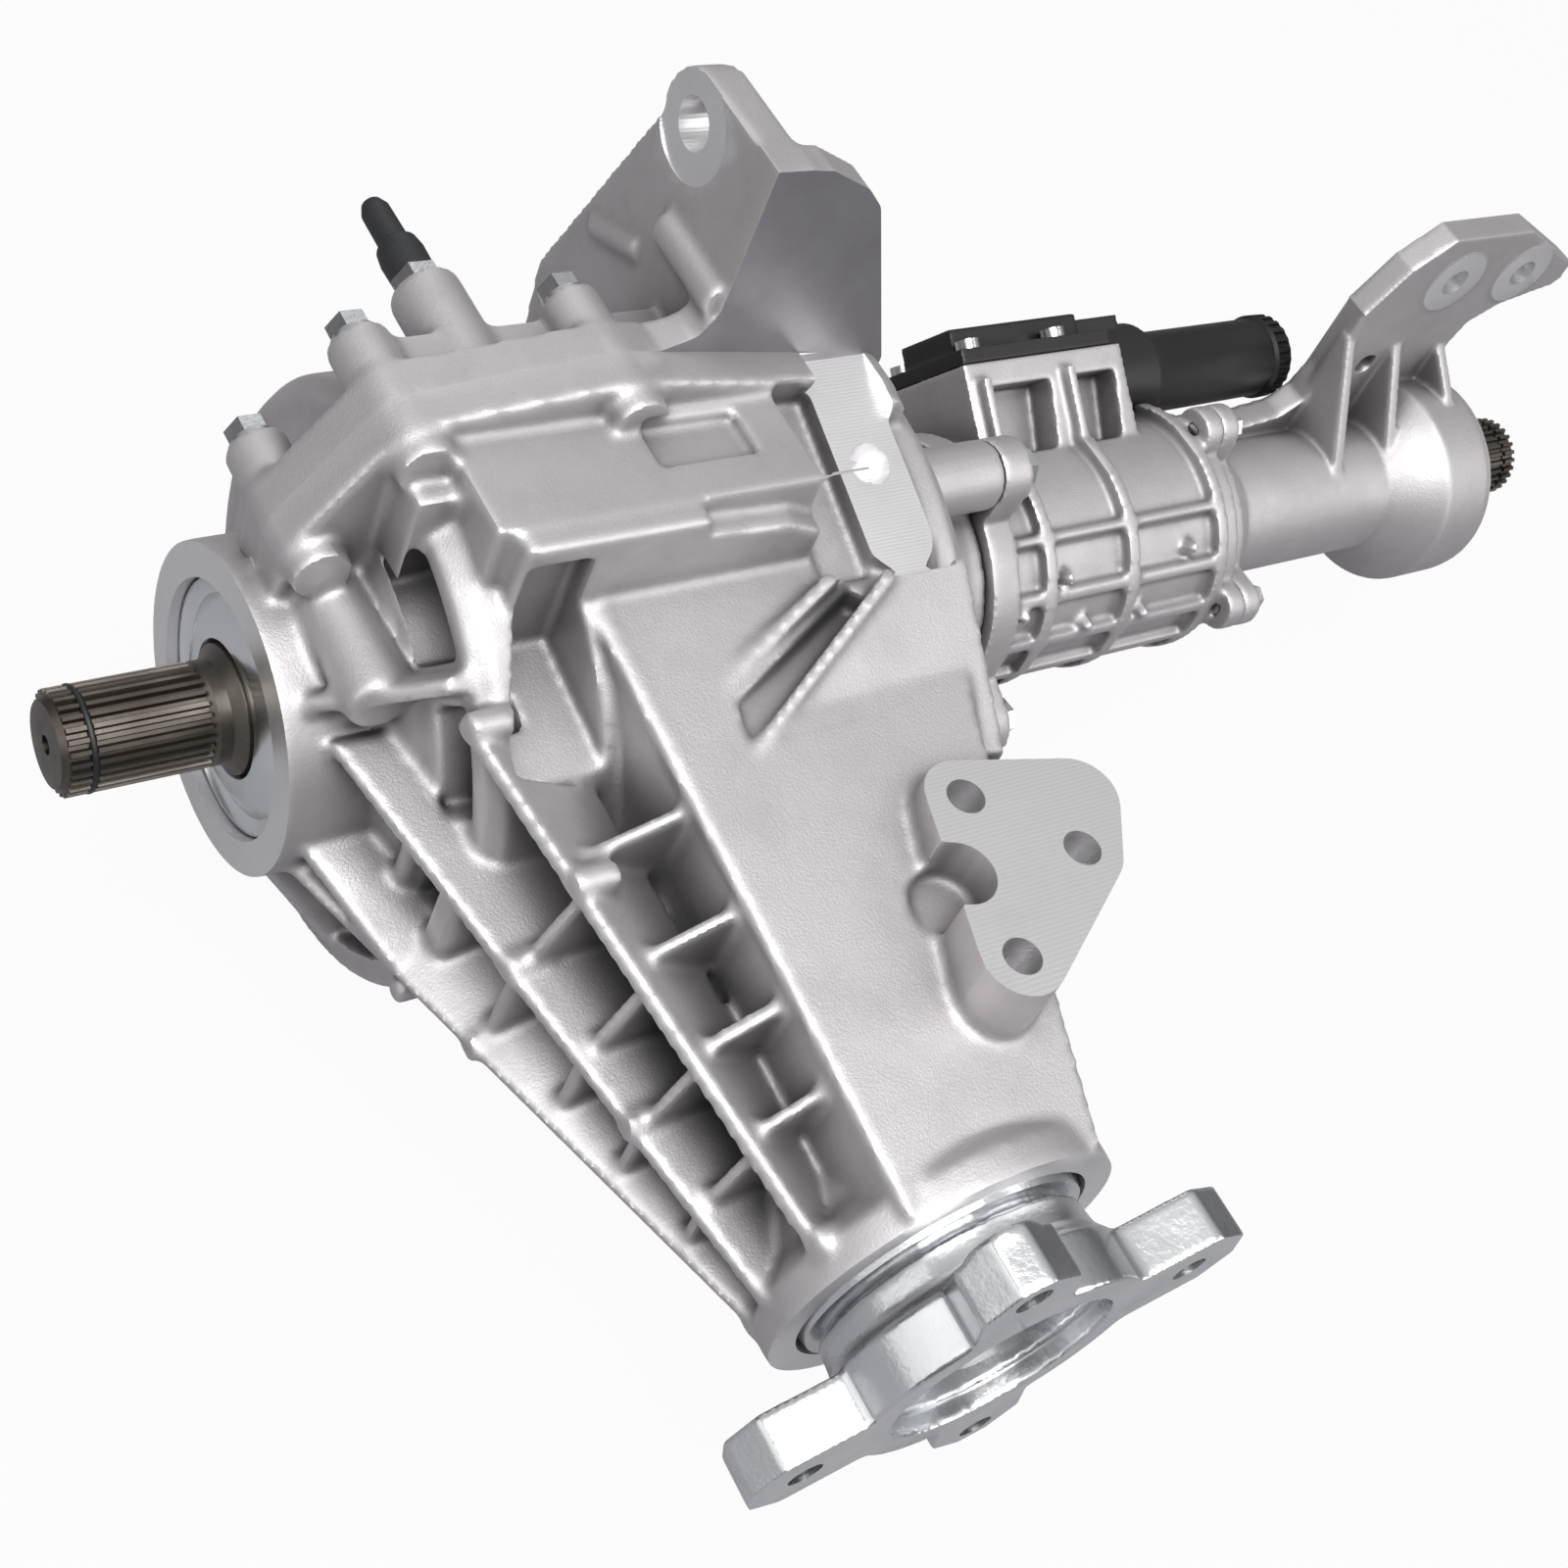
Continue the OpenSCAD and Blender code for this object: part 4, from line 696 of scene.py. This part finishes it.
@dataclass
class MainHousing(Assembly):
    """The cast housing behind the milled joint: drum, left bore, nose, ribs, panel and pads."""

    joint_y: float = JOINT_Y
    drum_left: float = -84.0
    left_end: float = -124.0
    neck_end: float = 136.0
    nose_end: float = -237.0
    pad_z: float = 78.0
    pad_hole_radius: float = 6.0
    pad_holes: tuple[Point, ...] = ((36, -135, 24), (62, -161, 22), (22, -187, 26))  # x, y, depth
    boss_at: Point = (62, -2, 102)
    boss_slope: float = 18.0
    boss_hole_y: float = -23.5
    boss_hole_radius: float = 7.0
    boss_hole_depth: float = 12.0
    # Each core of the left wall: inner radius, outer radius, first and last degree
    wall_cores: tuple[Point, ...] = (
        (54, 84, 6, 35), (54, 63.5, 44, 56), (71.5, 84, 44, 68), (54, 63.5, 72, 100),
        (71.5, 84, 82, 97), (54, 63.5, 116, 146), (71.5, 84, 107, 146), (54, 63.5, 154, 200),
        (71.5, 84, 154, 200))
    # Seal seat, bearings, gear space and right neck, as (x, radius)
    axle_bore: tuple[Point, ...] = (
        (-131, 40), (-104, 40), (-104, 32), (-86, 32), (-86, 38), (-64, 38), (-64, 60), (5, 60),
        (12, 84), (67, 84), (67, 38), (86, 38), (86, 24.5), (89, 24.5), (89, 22), (137, 22))
    # Seal seat and the pinion's bearings, as (y, radius)
    pinion_bore: tuple[Point, ...] = (
        (-246, 47), (-221, 47), (-221, 33), (-186, 33), (-186, 28), (-126, 28), (-126, 38),
        (-61, 38))

    def on_boss(self, shell: Shell) -> Shell:
        """Moves a shell drawn on a level boss to its sloping place."""
        return shell.turned(Axis.X, self.boss_slope).moved(self.boss_at)

    def fillings(self) -> list[Shell]:
        """Returns forms that fill the cavities and holes, so that only the outside is cast."""
        drum = turned([(self.left_end + 0.5, 48), (-96, 50), (-89, 66), (self.drum_left + 1, 86),
                       (-70, 88.8), (86, 88.8), (100, 54), (self.neck_end - 0.5, 42)])
        nose = turned([(self.nose_end + 0.5, 53), (-227, 53), (-217.5, 45), (-200, 40),
                       (-135, 43), (-98, 47), (-40, 69)], Axis.Y)
        pads = [rod(self.pad_z - depth - 2, self.pad_z, self.pad_hole_radius + 2, Axis.Z, (x, y, 0))
                for x, y, depth in self.pad_holes]
        boss = self.on_boss(rod(-self.boss_hole_depth - 4, 0, self.boss_hole_radius + 2, Axis.Z,
                                (0, self.boss_hole_y, 0)))
        return [drum, nose, *pads, boss]

    def side_wall(self) -> list[Shell]:
        """Returns the rim, ring, webs and column of the drum's left wall."""
        rim = arc([(-91, 84), (-91, 92.5), (-89, 94), (-80, 94), (-80, 84)], 76, 292)
        ring = arc([(-94, 64), (-94, 68), (-92, 70), (-80, 71), (-80, 63)], 78, 218)
        web = rib([at_angle(-118, 51, 39), at_angle(-91, 92, 39)],
                  [at_angle(-82, 48, 39), at_angle(-80, 90, 39)], 5, 8)
        short = rib([(-118, -50, -4), (-103, -88, -18)], [(-84, -46, -4), (-80, -88, -18)], 5, 8)
        low = rib([at_angle(-116, 51, 150), at_angle(-91, 90, 150)],
                  [at_angle(-84, 48, 150), at_angle(-80, 88, 150)], 5, 8)
        column = turned([(-45, 9.5), (-44, 10.5), (8, 11.5)], Axis.Y, (-100, 0, 50))
        return [rim, ring, web, short, low, column, rod(-96, -80, 4.5, Axis.X, (0, -86, -38)),
                rod(-97, -80, 4.5, Axis.X, (0, -52, -38))]

    def panel(self) -> list[Shell]:
        """Returns the stepped blocks of the top panel."""
        left = block((-89, -18, 70), (-70, 8, 101))
        back = block((-70, -46, 60), (-11, -30, 107.5))
        step = loft(np.array([
            [(-11, -46, 60), (-11, -30, 60), (-11, -30, 101), (-11, -46, 101)],
            [(20, -46, 60), (20, -30, 60), (20, -30, 99), (20, -46, 99)],
            [(49, -46, 60), (49, -30, 60), (49, -30, 89), (49, -46, 86)]], float))
        lip = block((-76, 2, 100), (36, 14, 110))
        return [left, back, step, lip]

    def boss_wedge(self) -> list[Shell]:
        """Returns the slope that carries the boss, and its two gussets."""
        low = [(-25, -107, 67), (72, -116, 62), (72, -116, 40), (-25, -107, 40)]
        high = [(49, -60, 89), (80, -60, 88), (80, -60, 40), (49, -60, 40)]
        outer = rib([(-27, -107, 69), (49, -62, 91)], [(-27, -107, 40), (49, -62, 40)], 4.5, 6)
        inner = rib([(-18, -80, 75.5), (49, -49, 91)], [(-18, -80, 40), (49, -49, 40)], 4.5, 6)
        return [loft(np.array([low, high], float)), outer, inner]

    def proud(self) -> list[Shell]:
        """Returns forms that stand proud of machined planes, so the cutter leaves sharp edges."""
        joint = slab(rounded(JOINT_BOLTS, JOINT_ROUND), Axis.Y, 3, 15)
        pad = slab(rounded([(22, -187), (62, -161), (73, -144), (36, -135)], 12.5, 10),
                   Axis.Z, 62, 81)
        seats = [rod(-126, -110, 50.8), rod(-239.5, -230, 55.6, Axis.Y)]
        boss = slab(rounded([(-0.1, -47), (0.1, -47), (0.1, 0), (-0.1, 0)], 12.4, 10),
                    Axis.Z, -16, 3)
        return [joint, pad, self.on_boss(boss), *seats]

    def hollows(self) -> list[list[Shell]]:
        """Returns the cored pockets: wall cells, fan cell, window, gusset pocket and notches."""
        wall = [arc([(-88, low), (-88, high), (-66, high - 2), (-66, low + 3)], start, stop, 16)
                for low, high, start, stop in self.wall_cores]
        fan = loft(np.array([[(-66, -38, 58), (-48, -38, 58), (-48, -38, 100), (-66, -38, 100)],
                             [(-80, -84, 48), (-46, -84, 48), (-46, -84, 100), (-80, -84, 100)]],
                            float))
        window = block((-17, -24, 104), (16, -7, 112))
        pocket = slab([(-13, -85), (40, -58), (44, -63), (-16, -99)], Axis.Z, 71, 95)
        beside_boss = self.on_boss(block((-30, -58, -7), (-12, 3, 16)))
        notch = rod(60.5, 90, 10.5, Axis.Z, (20, -158, 0))
        return [wall, [fan, window, pocket, notch], [beside_boss]]

    def build(self) -> None:
        """Casts the housing and machines its faces and bores."""
        extra = [*self.fillings(), *self.side_wall(), *self.panel(), *self.boss_wedge(),
                 *self.proud()]
        piece = cast_body("main_housing_casting", self.nodes["main_housing"], extra,
                          [self.palette(CAST), self.palette(MILLED)], self.hollows())
        front = [block((-94, self.joint_y, -150), (115.5, 150, 150))]
        beside = [block((-130, self.joint_y, 51.6), (-93.5, 150, 150)),
                  block((-130, self.joint_y, -150), (-93.5, 150, -51.6))]
        faces = [rod(-130, -123.4, 56), rod(-245, -236.3, 60, Axis.Y),
                 block((-8, -210, self.pad_z - STOCK), (95, -118, 90)),
                 self.on_boss(block((-13.3, -62, -STOCK), (13.3, 13.5, 12)))]
        pad_holes = [rod(self.pad_z - depth, self.pad_z + 5, self.pad_hole_radius, Axis.Z,
                         (x, y, 0)) for x, y, depth in self.pad_holes]
        boss_hole = rod(-self.boss_hole_depth, 5, self.boss_hole_radius, Axis.Z,
                        (0, self.boss_hole_y, 0))
        cut(piece, front, beside, faces, pad_holes)
        cut(piece, [self.on_boss(boss_hole)], [turned(self.axle_bore)],
            [turned(self.pinion_bore, Axis.Y)])
        self.settle(piece, "housing", "cast_aluminium", "main_housing")


@dataclass
class FrontCover(Assembly):
    """The cast cover in front of the joint, with its bracket ear."""

    joint_y: float = JOINT_Y
    ear_at: Point = (13, 51, 165)
    ear_face_radius: float = 17.5
    ear_hole_radius: float = 8.0
    web: tuple[Point, ...] = (
        (13, 182), (32, 181), (48, 173), (55, 166), (84, 102), (60, 60), (0, 60), (-8, 108),
        (-7, 117), (8, 122), (13, 131))
    # Left bore, gear space and right neck, as (x, radius)
    axle_bore: tuple[Point, ...] = (
        (-125, 51.3), (-93, 51.3), (-93, 32), (-88, 32), (-88, 61), (-64, 61), (-64, 88),
        (86, 88), (86, 24.5), (89, 24.5), (89, 22), (137, 22))

    def build(self) -> None:
        """Casts the cover and machines its joint face, its web's rear face and its bores."""
        x, y, z = self.ear_at
        at = (0, y, z)
        extra = [turned([(-93, 53), (-83, 86), (86, 88), (100, 54), (115.5, 42)]),
                 slab(rounded(JOINT_BOLTS, JOINT_ROUND), Axis.Y, 5, 20),
                 slab(self.web, Axis.Y, 5, 18), rod(x + 0.5, x + 12.5, 10, Axis.X, at),
                 rod(12, 47, 7, Axis.Y, (15, 0, 132)),
                 rod(0, 27, 4.5, (0, -0.914, 0.404), (15, 79, 104), 96),
                 rod(12, 40, 5.5, Axis.Y, (44, 0, 112)), block((-76, 5, 96), (40, 14, 110))]
        piece = cast_body("front_cover_casting", self.nodes["front_cover"], extra,
                          [self.palette(CAST), self.palette(MILLED), self.palette(SAWN_PAINTED_SHADE)])
        # The joint cut's faces, the web's rear face among them, get the sawn finish with painted
        # shade
        cut(piece, [block((-130, -130, -150), (130, self.joint_y, 200))], finish=2)
        cut(piece, [rod(x - 20, x + STOCK, self.ear_face_radius, Axis.X, at),
                    rod(x - 3, x + 40, self.ear_hole_radius, Axis.X, at), turned(self.axle_bore)],
            [rod(x - 4, x + 0.45, self.ear_face_radius, Axis.X, at)])
        self.settle(piece, "housing", "cast_aluminium", "front_cover")


@dataclass
class DisconnectHousing(Assembly):
    """The ribbed housing of the axle disconnect."""

    shelf_radius: float = 46.5
    # The two side pockets between the ribs, as (x, y) with the actuator's side level
    pockets: tuple[tuple[Point, ...], ...] = (
        ((171, 32), (193, 32), (196, 57), (168, 57)), ((208, 32), (224, 32), (227, 57), (206, 57)))
    pocket_floors: tuple[float, float] = (15.0, 16.0)
    pocket_top: float = 31.0
    nubs: tuple[Point, ...] = ((171, 52), (231, 50), (211, 78), (184, 78), (152, 66))  # x, degrees
    bore: tuple[Point, ...] = ((135, 36), (232, 36), (232, 22), (238, 22), (238, 33), (259, 33))

    def build(self) -> None:
        """Casts the housing with its two deep side pockets, and bores it."""
        hollows = [[slab(outline, Axis.Z, floor, self.pocket_top).turned(Axis.X, ACTUATOR_TURN)
                    for outline, floor in zip(self.pockets, self.pocket_floors)]]
        shelf = rib([at_angle(x, self.shelf_radius, ACTUATOR_TURN) for x in (141, 243)],
                    [at_angle(x, 36, ACTUATOR_TURN) for x in (141, 243)], 3, 6)
        nubs = [turned([(38, 5), (48.5, 2)], at_angle(0, 1, angle), (x, 0, 0), 4)
                for x, angle in self.nubs]
        piece = cast_body("disconnect_housing_casting", self.nodes["disconnect_housing"],
                          [rod(136.5, 257.5, 40), shelf, *nubs],
                          [self.palette(CAST), self.palette(MILLED)], hollows, grain=1.0)
        cut(piece, [turned(self.bore)])
        self.settle(piece, "housing", "cast_aluminium", "disconnect_housing")


@dataclass
class AxleTube(Assembly):
    """The long tube with its bell end and bracket."""

    bell_end: float = 403.0
    plate_y: float = 18.0
    bolt_holes: tuple[Point, ...] = ((371.5, 92), (411.5, 92))  # x, z
    bolt_hole_radius: float = 6.0
    spot_face_radius: float = 15.0
    bore: tuple[Point, ...] = ((257, 21), (378, 21), (378, 33), (390, 33), (390, 34), (410, 34))

    def build(self) -> None:
        """Casts the tube, faces its plate round the holes and bores it."""
        places = [(x, 0, z) for x, z in self.bolt_holes]
        rear = self.plate_y - 6
        extra = [turned([(258.5, 32), (280, 24), (359, 24), (377, 40), (self.bell_end - 0.5, 38)]),
                 rod(self.bell_end - 20, self.bell_end + 1, 41.5, around=96)]
        extra += [rod(self.plate_y - 1.2, self.plate_y + 10, 13.5, Axis.Y, at) for at in places]
        piece = cast_body("axle_tube_casting", self.nodes["axle_tube"], extra,
                          [self.palette(CAST), self.palette(MILLED)], grain=1.0)
        cut(piece,
            [rod(rear, self.plate_y - 0.5, self.spot_face_radius, Axis.Y, at) for at in places],
            [rod(rear, self.plate_y + 20, self.bolt_hole_radius, Axis.Y, at) for at in places],
            [rod(self.bell_end - STOCK, self.bell_end + 6, 50)], [turned(self.bore)])
        self.settle(piece, "housing", "cast_aluminium", "axle_tube")


@dataclass
class DriveFlange(Assembly):
    """The forged four-arm flange that the propeller shaft bolts to."""

    face_y: float = -270.0
    arm_turn: float = 18.7
    bolt_circle: float = 62.0
    bolt_hole_radius: float = 5.5
    pilot_radius: float = 35.5
    pilot_depth: float = 6.0

    def build(self) -> None:
        """Forges the flange with soft edges, faces it, bores its pilot and drills its arms."""
        face = self.face_y
        turns = np.radians(self.arm_turn + np.arange(4) * 90)
        places = [(self.bolt_circle * np.cos(a), 0.0, self.bolt_circle * np.sin(a)) for a in turns]
        extra = [rod(face + 0.5, face + 16, 9, Axis.Y, at) for at in places]
        extra += [rod(face + 15.5, face + 18.5, 10.5, Axis.Y, at) for at in places]
        piece = cast_body("propeller_shaft_flange", self.nodes["pinion_flange"], extra,
                          [self.palette(ZINC), self.palette(ZINC)], grain=0.9)
        cut(piece, [rod(face + 16.9, face + 24, 9.5, Axis.Y, at) for at in places],
            [rod(face - 5, face + 30, self.bolt_hole_radius, Axis.Y, at) for at in places],
            [block((-100, face - 10, -100), (100, face + STOCK, 100))],
            [rod(face - 12, face + self.pilot_depth, self.pilot_radius, Axis.Y)])
        self.settle(piece, "pinion", "zinc_plate", "pinion_flange")


@dataclass
class CarriedParts(Assembly):
    """The smaller parts: some are made again, and the rest keep their CAD shape."""

    # The pressed sheet's section, as (x, radius): a dished disc with a rolled rim
    shield: tuple[Point, ...] = (
        (-119, 20.05), (-121.4, 21.5), (-121.4, 27), (-117.6, 34.5), (-118.2, 37),
        (-119.6, 38.4), (-119.6, 39.3), (-117.6, 39.3), (-116.2, 37.4), (-115.8, 34),
        (-119.8, 26.6), (-119.8, 22), (-117.4, 20.05))
    wire_x: float = -166.0
    wire_radius: float = 15.3
    motor_can: tuple[Point, ...] = ((239.2, 16.9), (262, 16.9), (264, 15.6), (323, 15.2),
                                    (324, 16.4), (331, 16.2), (333, 14))
    flutes: int = 24
    flute_radius: float = 1.3
    flute_circle: float = 16.0

    def moulded(self, name: str, body: str, grain: float, soften: int) -> None:
        """Softens a moulded piece's edges.

        Args:
            name: The CAD node.
            body: The body that it rides on.
            grain: Size of the remeshed faces in millimetres.
            soften: Rounds of smoothing.
        """
        piece = cast_body(name + "_moulding", self.nodes[name], [], [self.palette(NYLON)],
                          grain=grain, soften=soften)
        self.settle(piece, body, "black_plastic", name)

    def left_shield(self) -> None:
        """Presses the left dust shield."""
        name = "left_dust_shield_pressing"
        piece = as_object(name, mesh_of(name, [turned(self.shield, hollow=True)]))
        piece.data.materials.append(self.palette(SHIELD))
        self.settle(piece, "left_output", "zinc_plate", "left_dust_shield")

    def spline_wire(self) -> None:
        """Snaps the black wire ring, 2 mm thick, into the left spline's groove."""
        name = "left_spline_wire_ring"
        around = np.linspace(0, 2 * np.pi, 12, endpoint=False)
        section = np.stack([self.wire_x + np.cos(around), self.wire_radius + np.sin(around)], -1)
        piece = as_object(name, mesh_of(name, [turned(section, hollow=True)]))
        piece.data.materials.append(self.palette(NYLON))
        self.settle(piece, "left_output", "machined_steel")

    def motor(self) -> None:
        """Moulds the motor can with its fluted end."""
        turn = np.radians(ACTUATOR_TURN)
        at = (0.0, ACTUATOR_REACH * np.cos(turn), ACTUATOR_REACH * np.sin(turn))
        flutes = [rod(324.5, 332, self.flute_radius, Axis.X,
                      tuple(np.add(at, (0, self.flute_circle * np.cos(a),
                                        self.flute_circle * np.sin(a)))), 16)
                  for a in np.linspace(0, 2 * np.pi, self.flutes, endpoint=False)]
        name = "actuator_motor_can"
        piece = as_object(name, mesh_of(name, [turned(self.motor_can, Axis.X, at)]))
        piece.data.materials.append(self.palette(NYLON))
        cut(piece, flutes, finish=0)
        self.settle(piece, "housing", "black_plastic", "actuator_motor")

    def build(self) -> None:
        """Makes the parts and dresses the nodes that stay."""
        self.left_shield()
        self.spline_wire()
        self.motor()
        self.moulded("actuator_body", "housing", 0.8, 3)
        self.dress(ZINC, "cover_bolts", "disconnect_bolts", "tube_bolts", "actuator_screws",
                   "right_dust_shield", "pinion_dust_shield", "pinion_nut", "breather_nipple",
                   "cap_bolts")
        self.dress(RUBBER, "breather_cap", "left_oil_seal", "right_oil_seal", "pinion_oil_seal")
        self.dress(OILED, "left_stub_shaft", "right_output_shaft", "intermediate_shaft",
                   "left_snap_ring", "shift_collar", "shift_fork", "fill_plug", "drain_plug")
        self.dress(GEAR, "ring_gear", "pinion_gear", "left_side_gear", "right_side_gear",
                   "upper_spider_gear", "lower_spider_gear", "ring_gear_bolts", "cross_pin",
                   "cross_pin_lock", "crush_sleeve")
        self.dress(BEARING, "left_carrier_cup", "right_carrier_cup", "left_carrier_cone",
                   "right_carrier_cone", "pinion_head_cup", "pinion_head_cone",
                   "pinion_tail_cup", "pinion_tail_cone", "intermediate_bearing",
                   "tube_inner_bearing", "tube_outer_bearing")
        self.dress(IRON, "differential_case")
        self.dress(CAST, "bearing_caps")
        self.dress(BRONZE, "side_gear_washers")


# ---------------------------------------------------------------- studio


@dataclass(frozen=True)
class Lamp:
    """A square soft light: its place and side in millimetres, and its power in watts."""

    name: str
    place: Point
    side: float
    power: float


@dataclass
class Studio:
    """The floor, the soft lights and the camera at the photograph's angle."""

    eye: Point = (-355.2, -381.1, 541.2)
    right: Point = (0.8182, -0.4719, 0.3283)
    up: Point = (0.2086, 0.7759, 0.5954)
    back: Point = (-0.5357, -0.4187, 0.7333)
    lens: float = 52.69
    sensor: float = 36.0
    lit_point: Point = (60, 150, 0)  # where the lamps aim, in the part's frame
    lamps: tuple[Lamp, ...] = (Lamp("key", (-400, -600, 1400), 1000, 32.0),
                               Lamp("side", (-1500, -100, 600), 1500, 7.0),
                               Lamp("fill", (900, -1100, 800), 1200, 10.0),
                               Lamp("rim", (300, 1500, 900), 900, 3.0))
    background: str = "#ffffff"
    floor_tone: str = "#8c8c8f"
    floor_half: float = 6.0  # half the floor's side in metres
    floor_glow: float = 0.95  # how far the floor shows the background's white instead of its tone

    def camera(self) -> None:
        """Creates the camera and makes it the scene's own."""
        data = bpy.data.cameras.new("camera")
        data.lens, data.sensor_width, data.sensor_fit = self.lens, self.sensor, "HORIZONTAL"
        data.clip_start, data.clip_end = 0.01, 20
        camera = bpy.data.objects.new("camera", data)
        turn = Matrix(np.array([self.right, self.up, self.back]).T.tolist()).to_4x4()
        spot = (Vector(self.eye) + Vector((0, AXLE_AHEAD, 0))) * MM
        camera.matrix_world = Matrix.Translation(spot) @ turn
        bpy.context.scene.collection.objects.link(camera)
        bpy.context.scene.camera = camera

    def floor(self, height: float) -> None:
        """Lays a plain floor just under the part: grey as a light, and white to the eye.

        Args:
            height: The floor's level in metres.
        """
        mesh = bpy.data.meshes.new("floor")
        half = self.floor_half
        mesh.from_pydata([(-half, -half, height), (half, -half, height), (half, half, height),
                          (-half, half, height)], [], [(0, 1, 2, 3)])
        floor = as_object("floor", mesh)
        made = bpy.data.materials.new("plain_white_floor")
        made.use_nodes = True
        tree = made.node_tree
        tree.nodes.clear()
        rays = add_node(tree, "ShaderNodeLightPath")
        matt = add_node(tree, "ShaderNodeBsdfDiffuse", {"Color": linear(self.floor_tone)})
        glow = add_node(tree, "ShaderNodeEmission",
                        {"Color": linear(self.background), "Strength": 1.0})
        part = add_node(tree, "ShaderNodeMath", {1: self.floor_glow}, {"operation": "MULTIPLY"},
                        {0: rays.outputs["Is Camera Ray"]})
        mix = add_node(tree, "ShaderNodeMixShader",
                       links={0: part.outputs[0], 1: matt.outputs[0], 2: glow.outputs[0]})
        add_node(tree, "ShaderNodeOutputMaterial", links={"Surface": mix.outputs[0]})
        floor.data.materials.append(made)

    def lights(self) -> None:
        """Hangs the soft area lights round the part."""
        for lamp in self.lamps:
            data = bpy.data.lights.new(lamp.name, "AREA")
            data.shape, data.size, data.energy = "SQUARE", lamp.side * MM, lamp.power
            light = bpy.data.objects.new(lamp.name, data)
            spot = (Vector(lamp.place) + Vector((0, AXLE_AHEAD, 0))) * MM
            aim = Vector(self.lit_point) * MM - spot
            turn = aim.to_track_quat("-Z", "Y").to_matrix().to_4x4()
            light.matrix_world = Matrix.Translation(spot) @ turn
            bpy.context.scene.collection.objects.link(light)

    def surround(self) -> None:
        """Makes the world white to the eye, and as a light dim below and brighter above."""
        world = bpy.data.worlds.new("studio")
        world.use_nodes = True
        bpy.context.scene.world = world
        tree = world.node_tree
        tree.nodes.clear()
        rays = add_node(tree, "ShaderNodeLightPath")
        place = add_node(tree, "ShaderNodeTexCoord").outputs["Generated"]
        heading = add_node(tree, "ShaderNodeSeparateXYZ", links={"Vector": place})
        sky = add_node(tree, "ShaderNodeMapRange",
                       {"From Min": -0.1, "From Max": 0.95, "To Min": 0.05, "To Max": 0.7},
                       links={"Value": heading.outputs["Z"]})
        level = add_node(tree, "ShaderNodeMix", {3: 1.0}, {"data_type": "FLOAT"},
                         {0: rays.outputs["Is Camera Ray"], 2: sky.outputs["Result"]})
        glow = add_node(tree, "ShaderNodeBackground", {"Color": linear(self.background)},
                        links={"Strength": level.outputs[0]})
        add_node(tree, "ShaderNodeOutputWorld", links={"Surface": glow.outputs[0]})

    def build(self, floor_height: float) -> None:
        """Sets up the whole studio.

        Args:
            floor_height: The floor's level in metres.
        """
        self.camera()
        self.floor(floor_height)
        self.lights()
        self.surround()
        bpy.context.scene.view_settings.view_transform = "Standard"


def main() -> None:
    """Builds the studio and every sub-assembly."""
    logging.basicConfig(level=logging.INFO, format="%(message)s")
    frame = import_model()
    palette = Palette()
    Studio().build(min(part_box(name)[0].z for name in frame["nodes"]) - FLOOR_GAP)
    for kind in (MainHousing, FrontCover, DisconnectHousing, AxleTube, DriveFlange, CarriedParts):
        kind(frame["nodes"], palette).build()


if __name__ == "__main__":
    main()
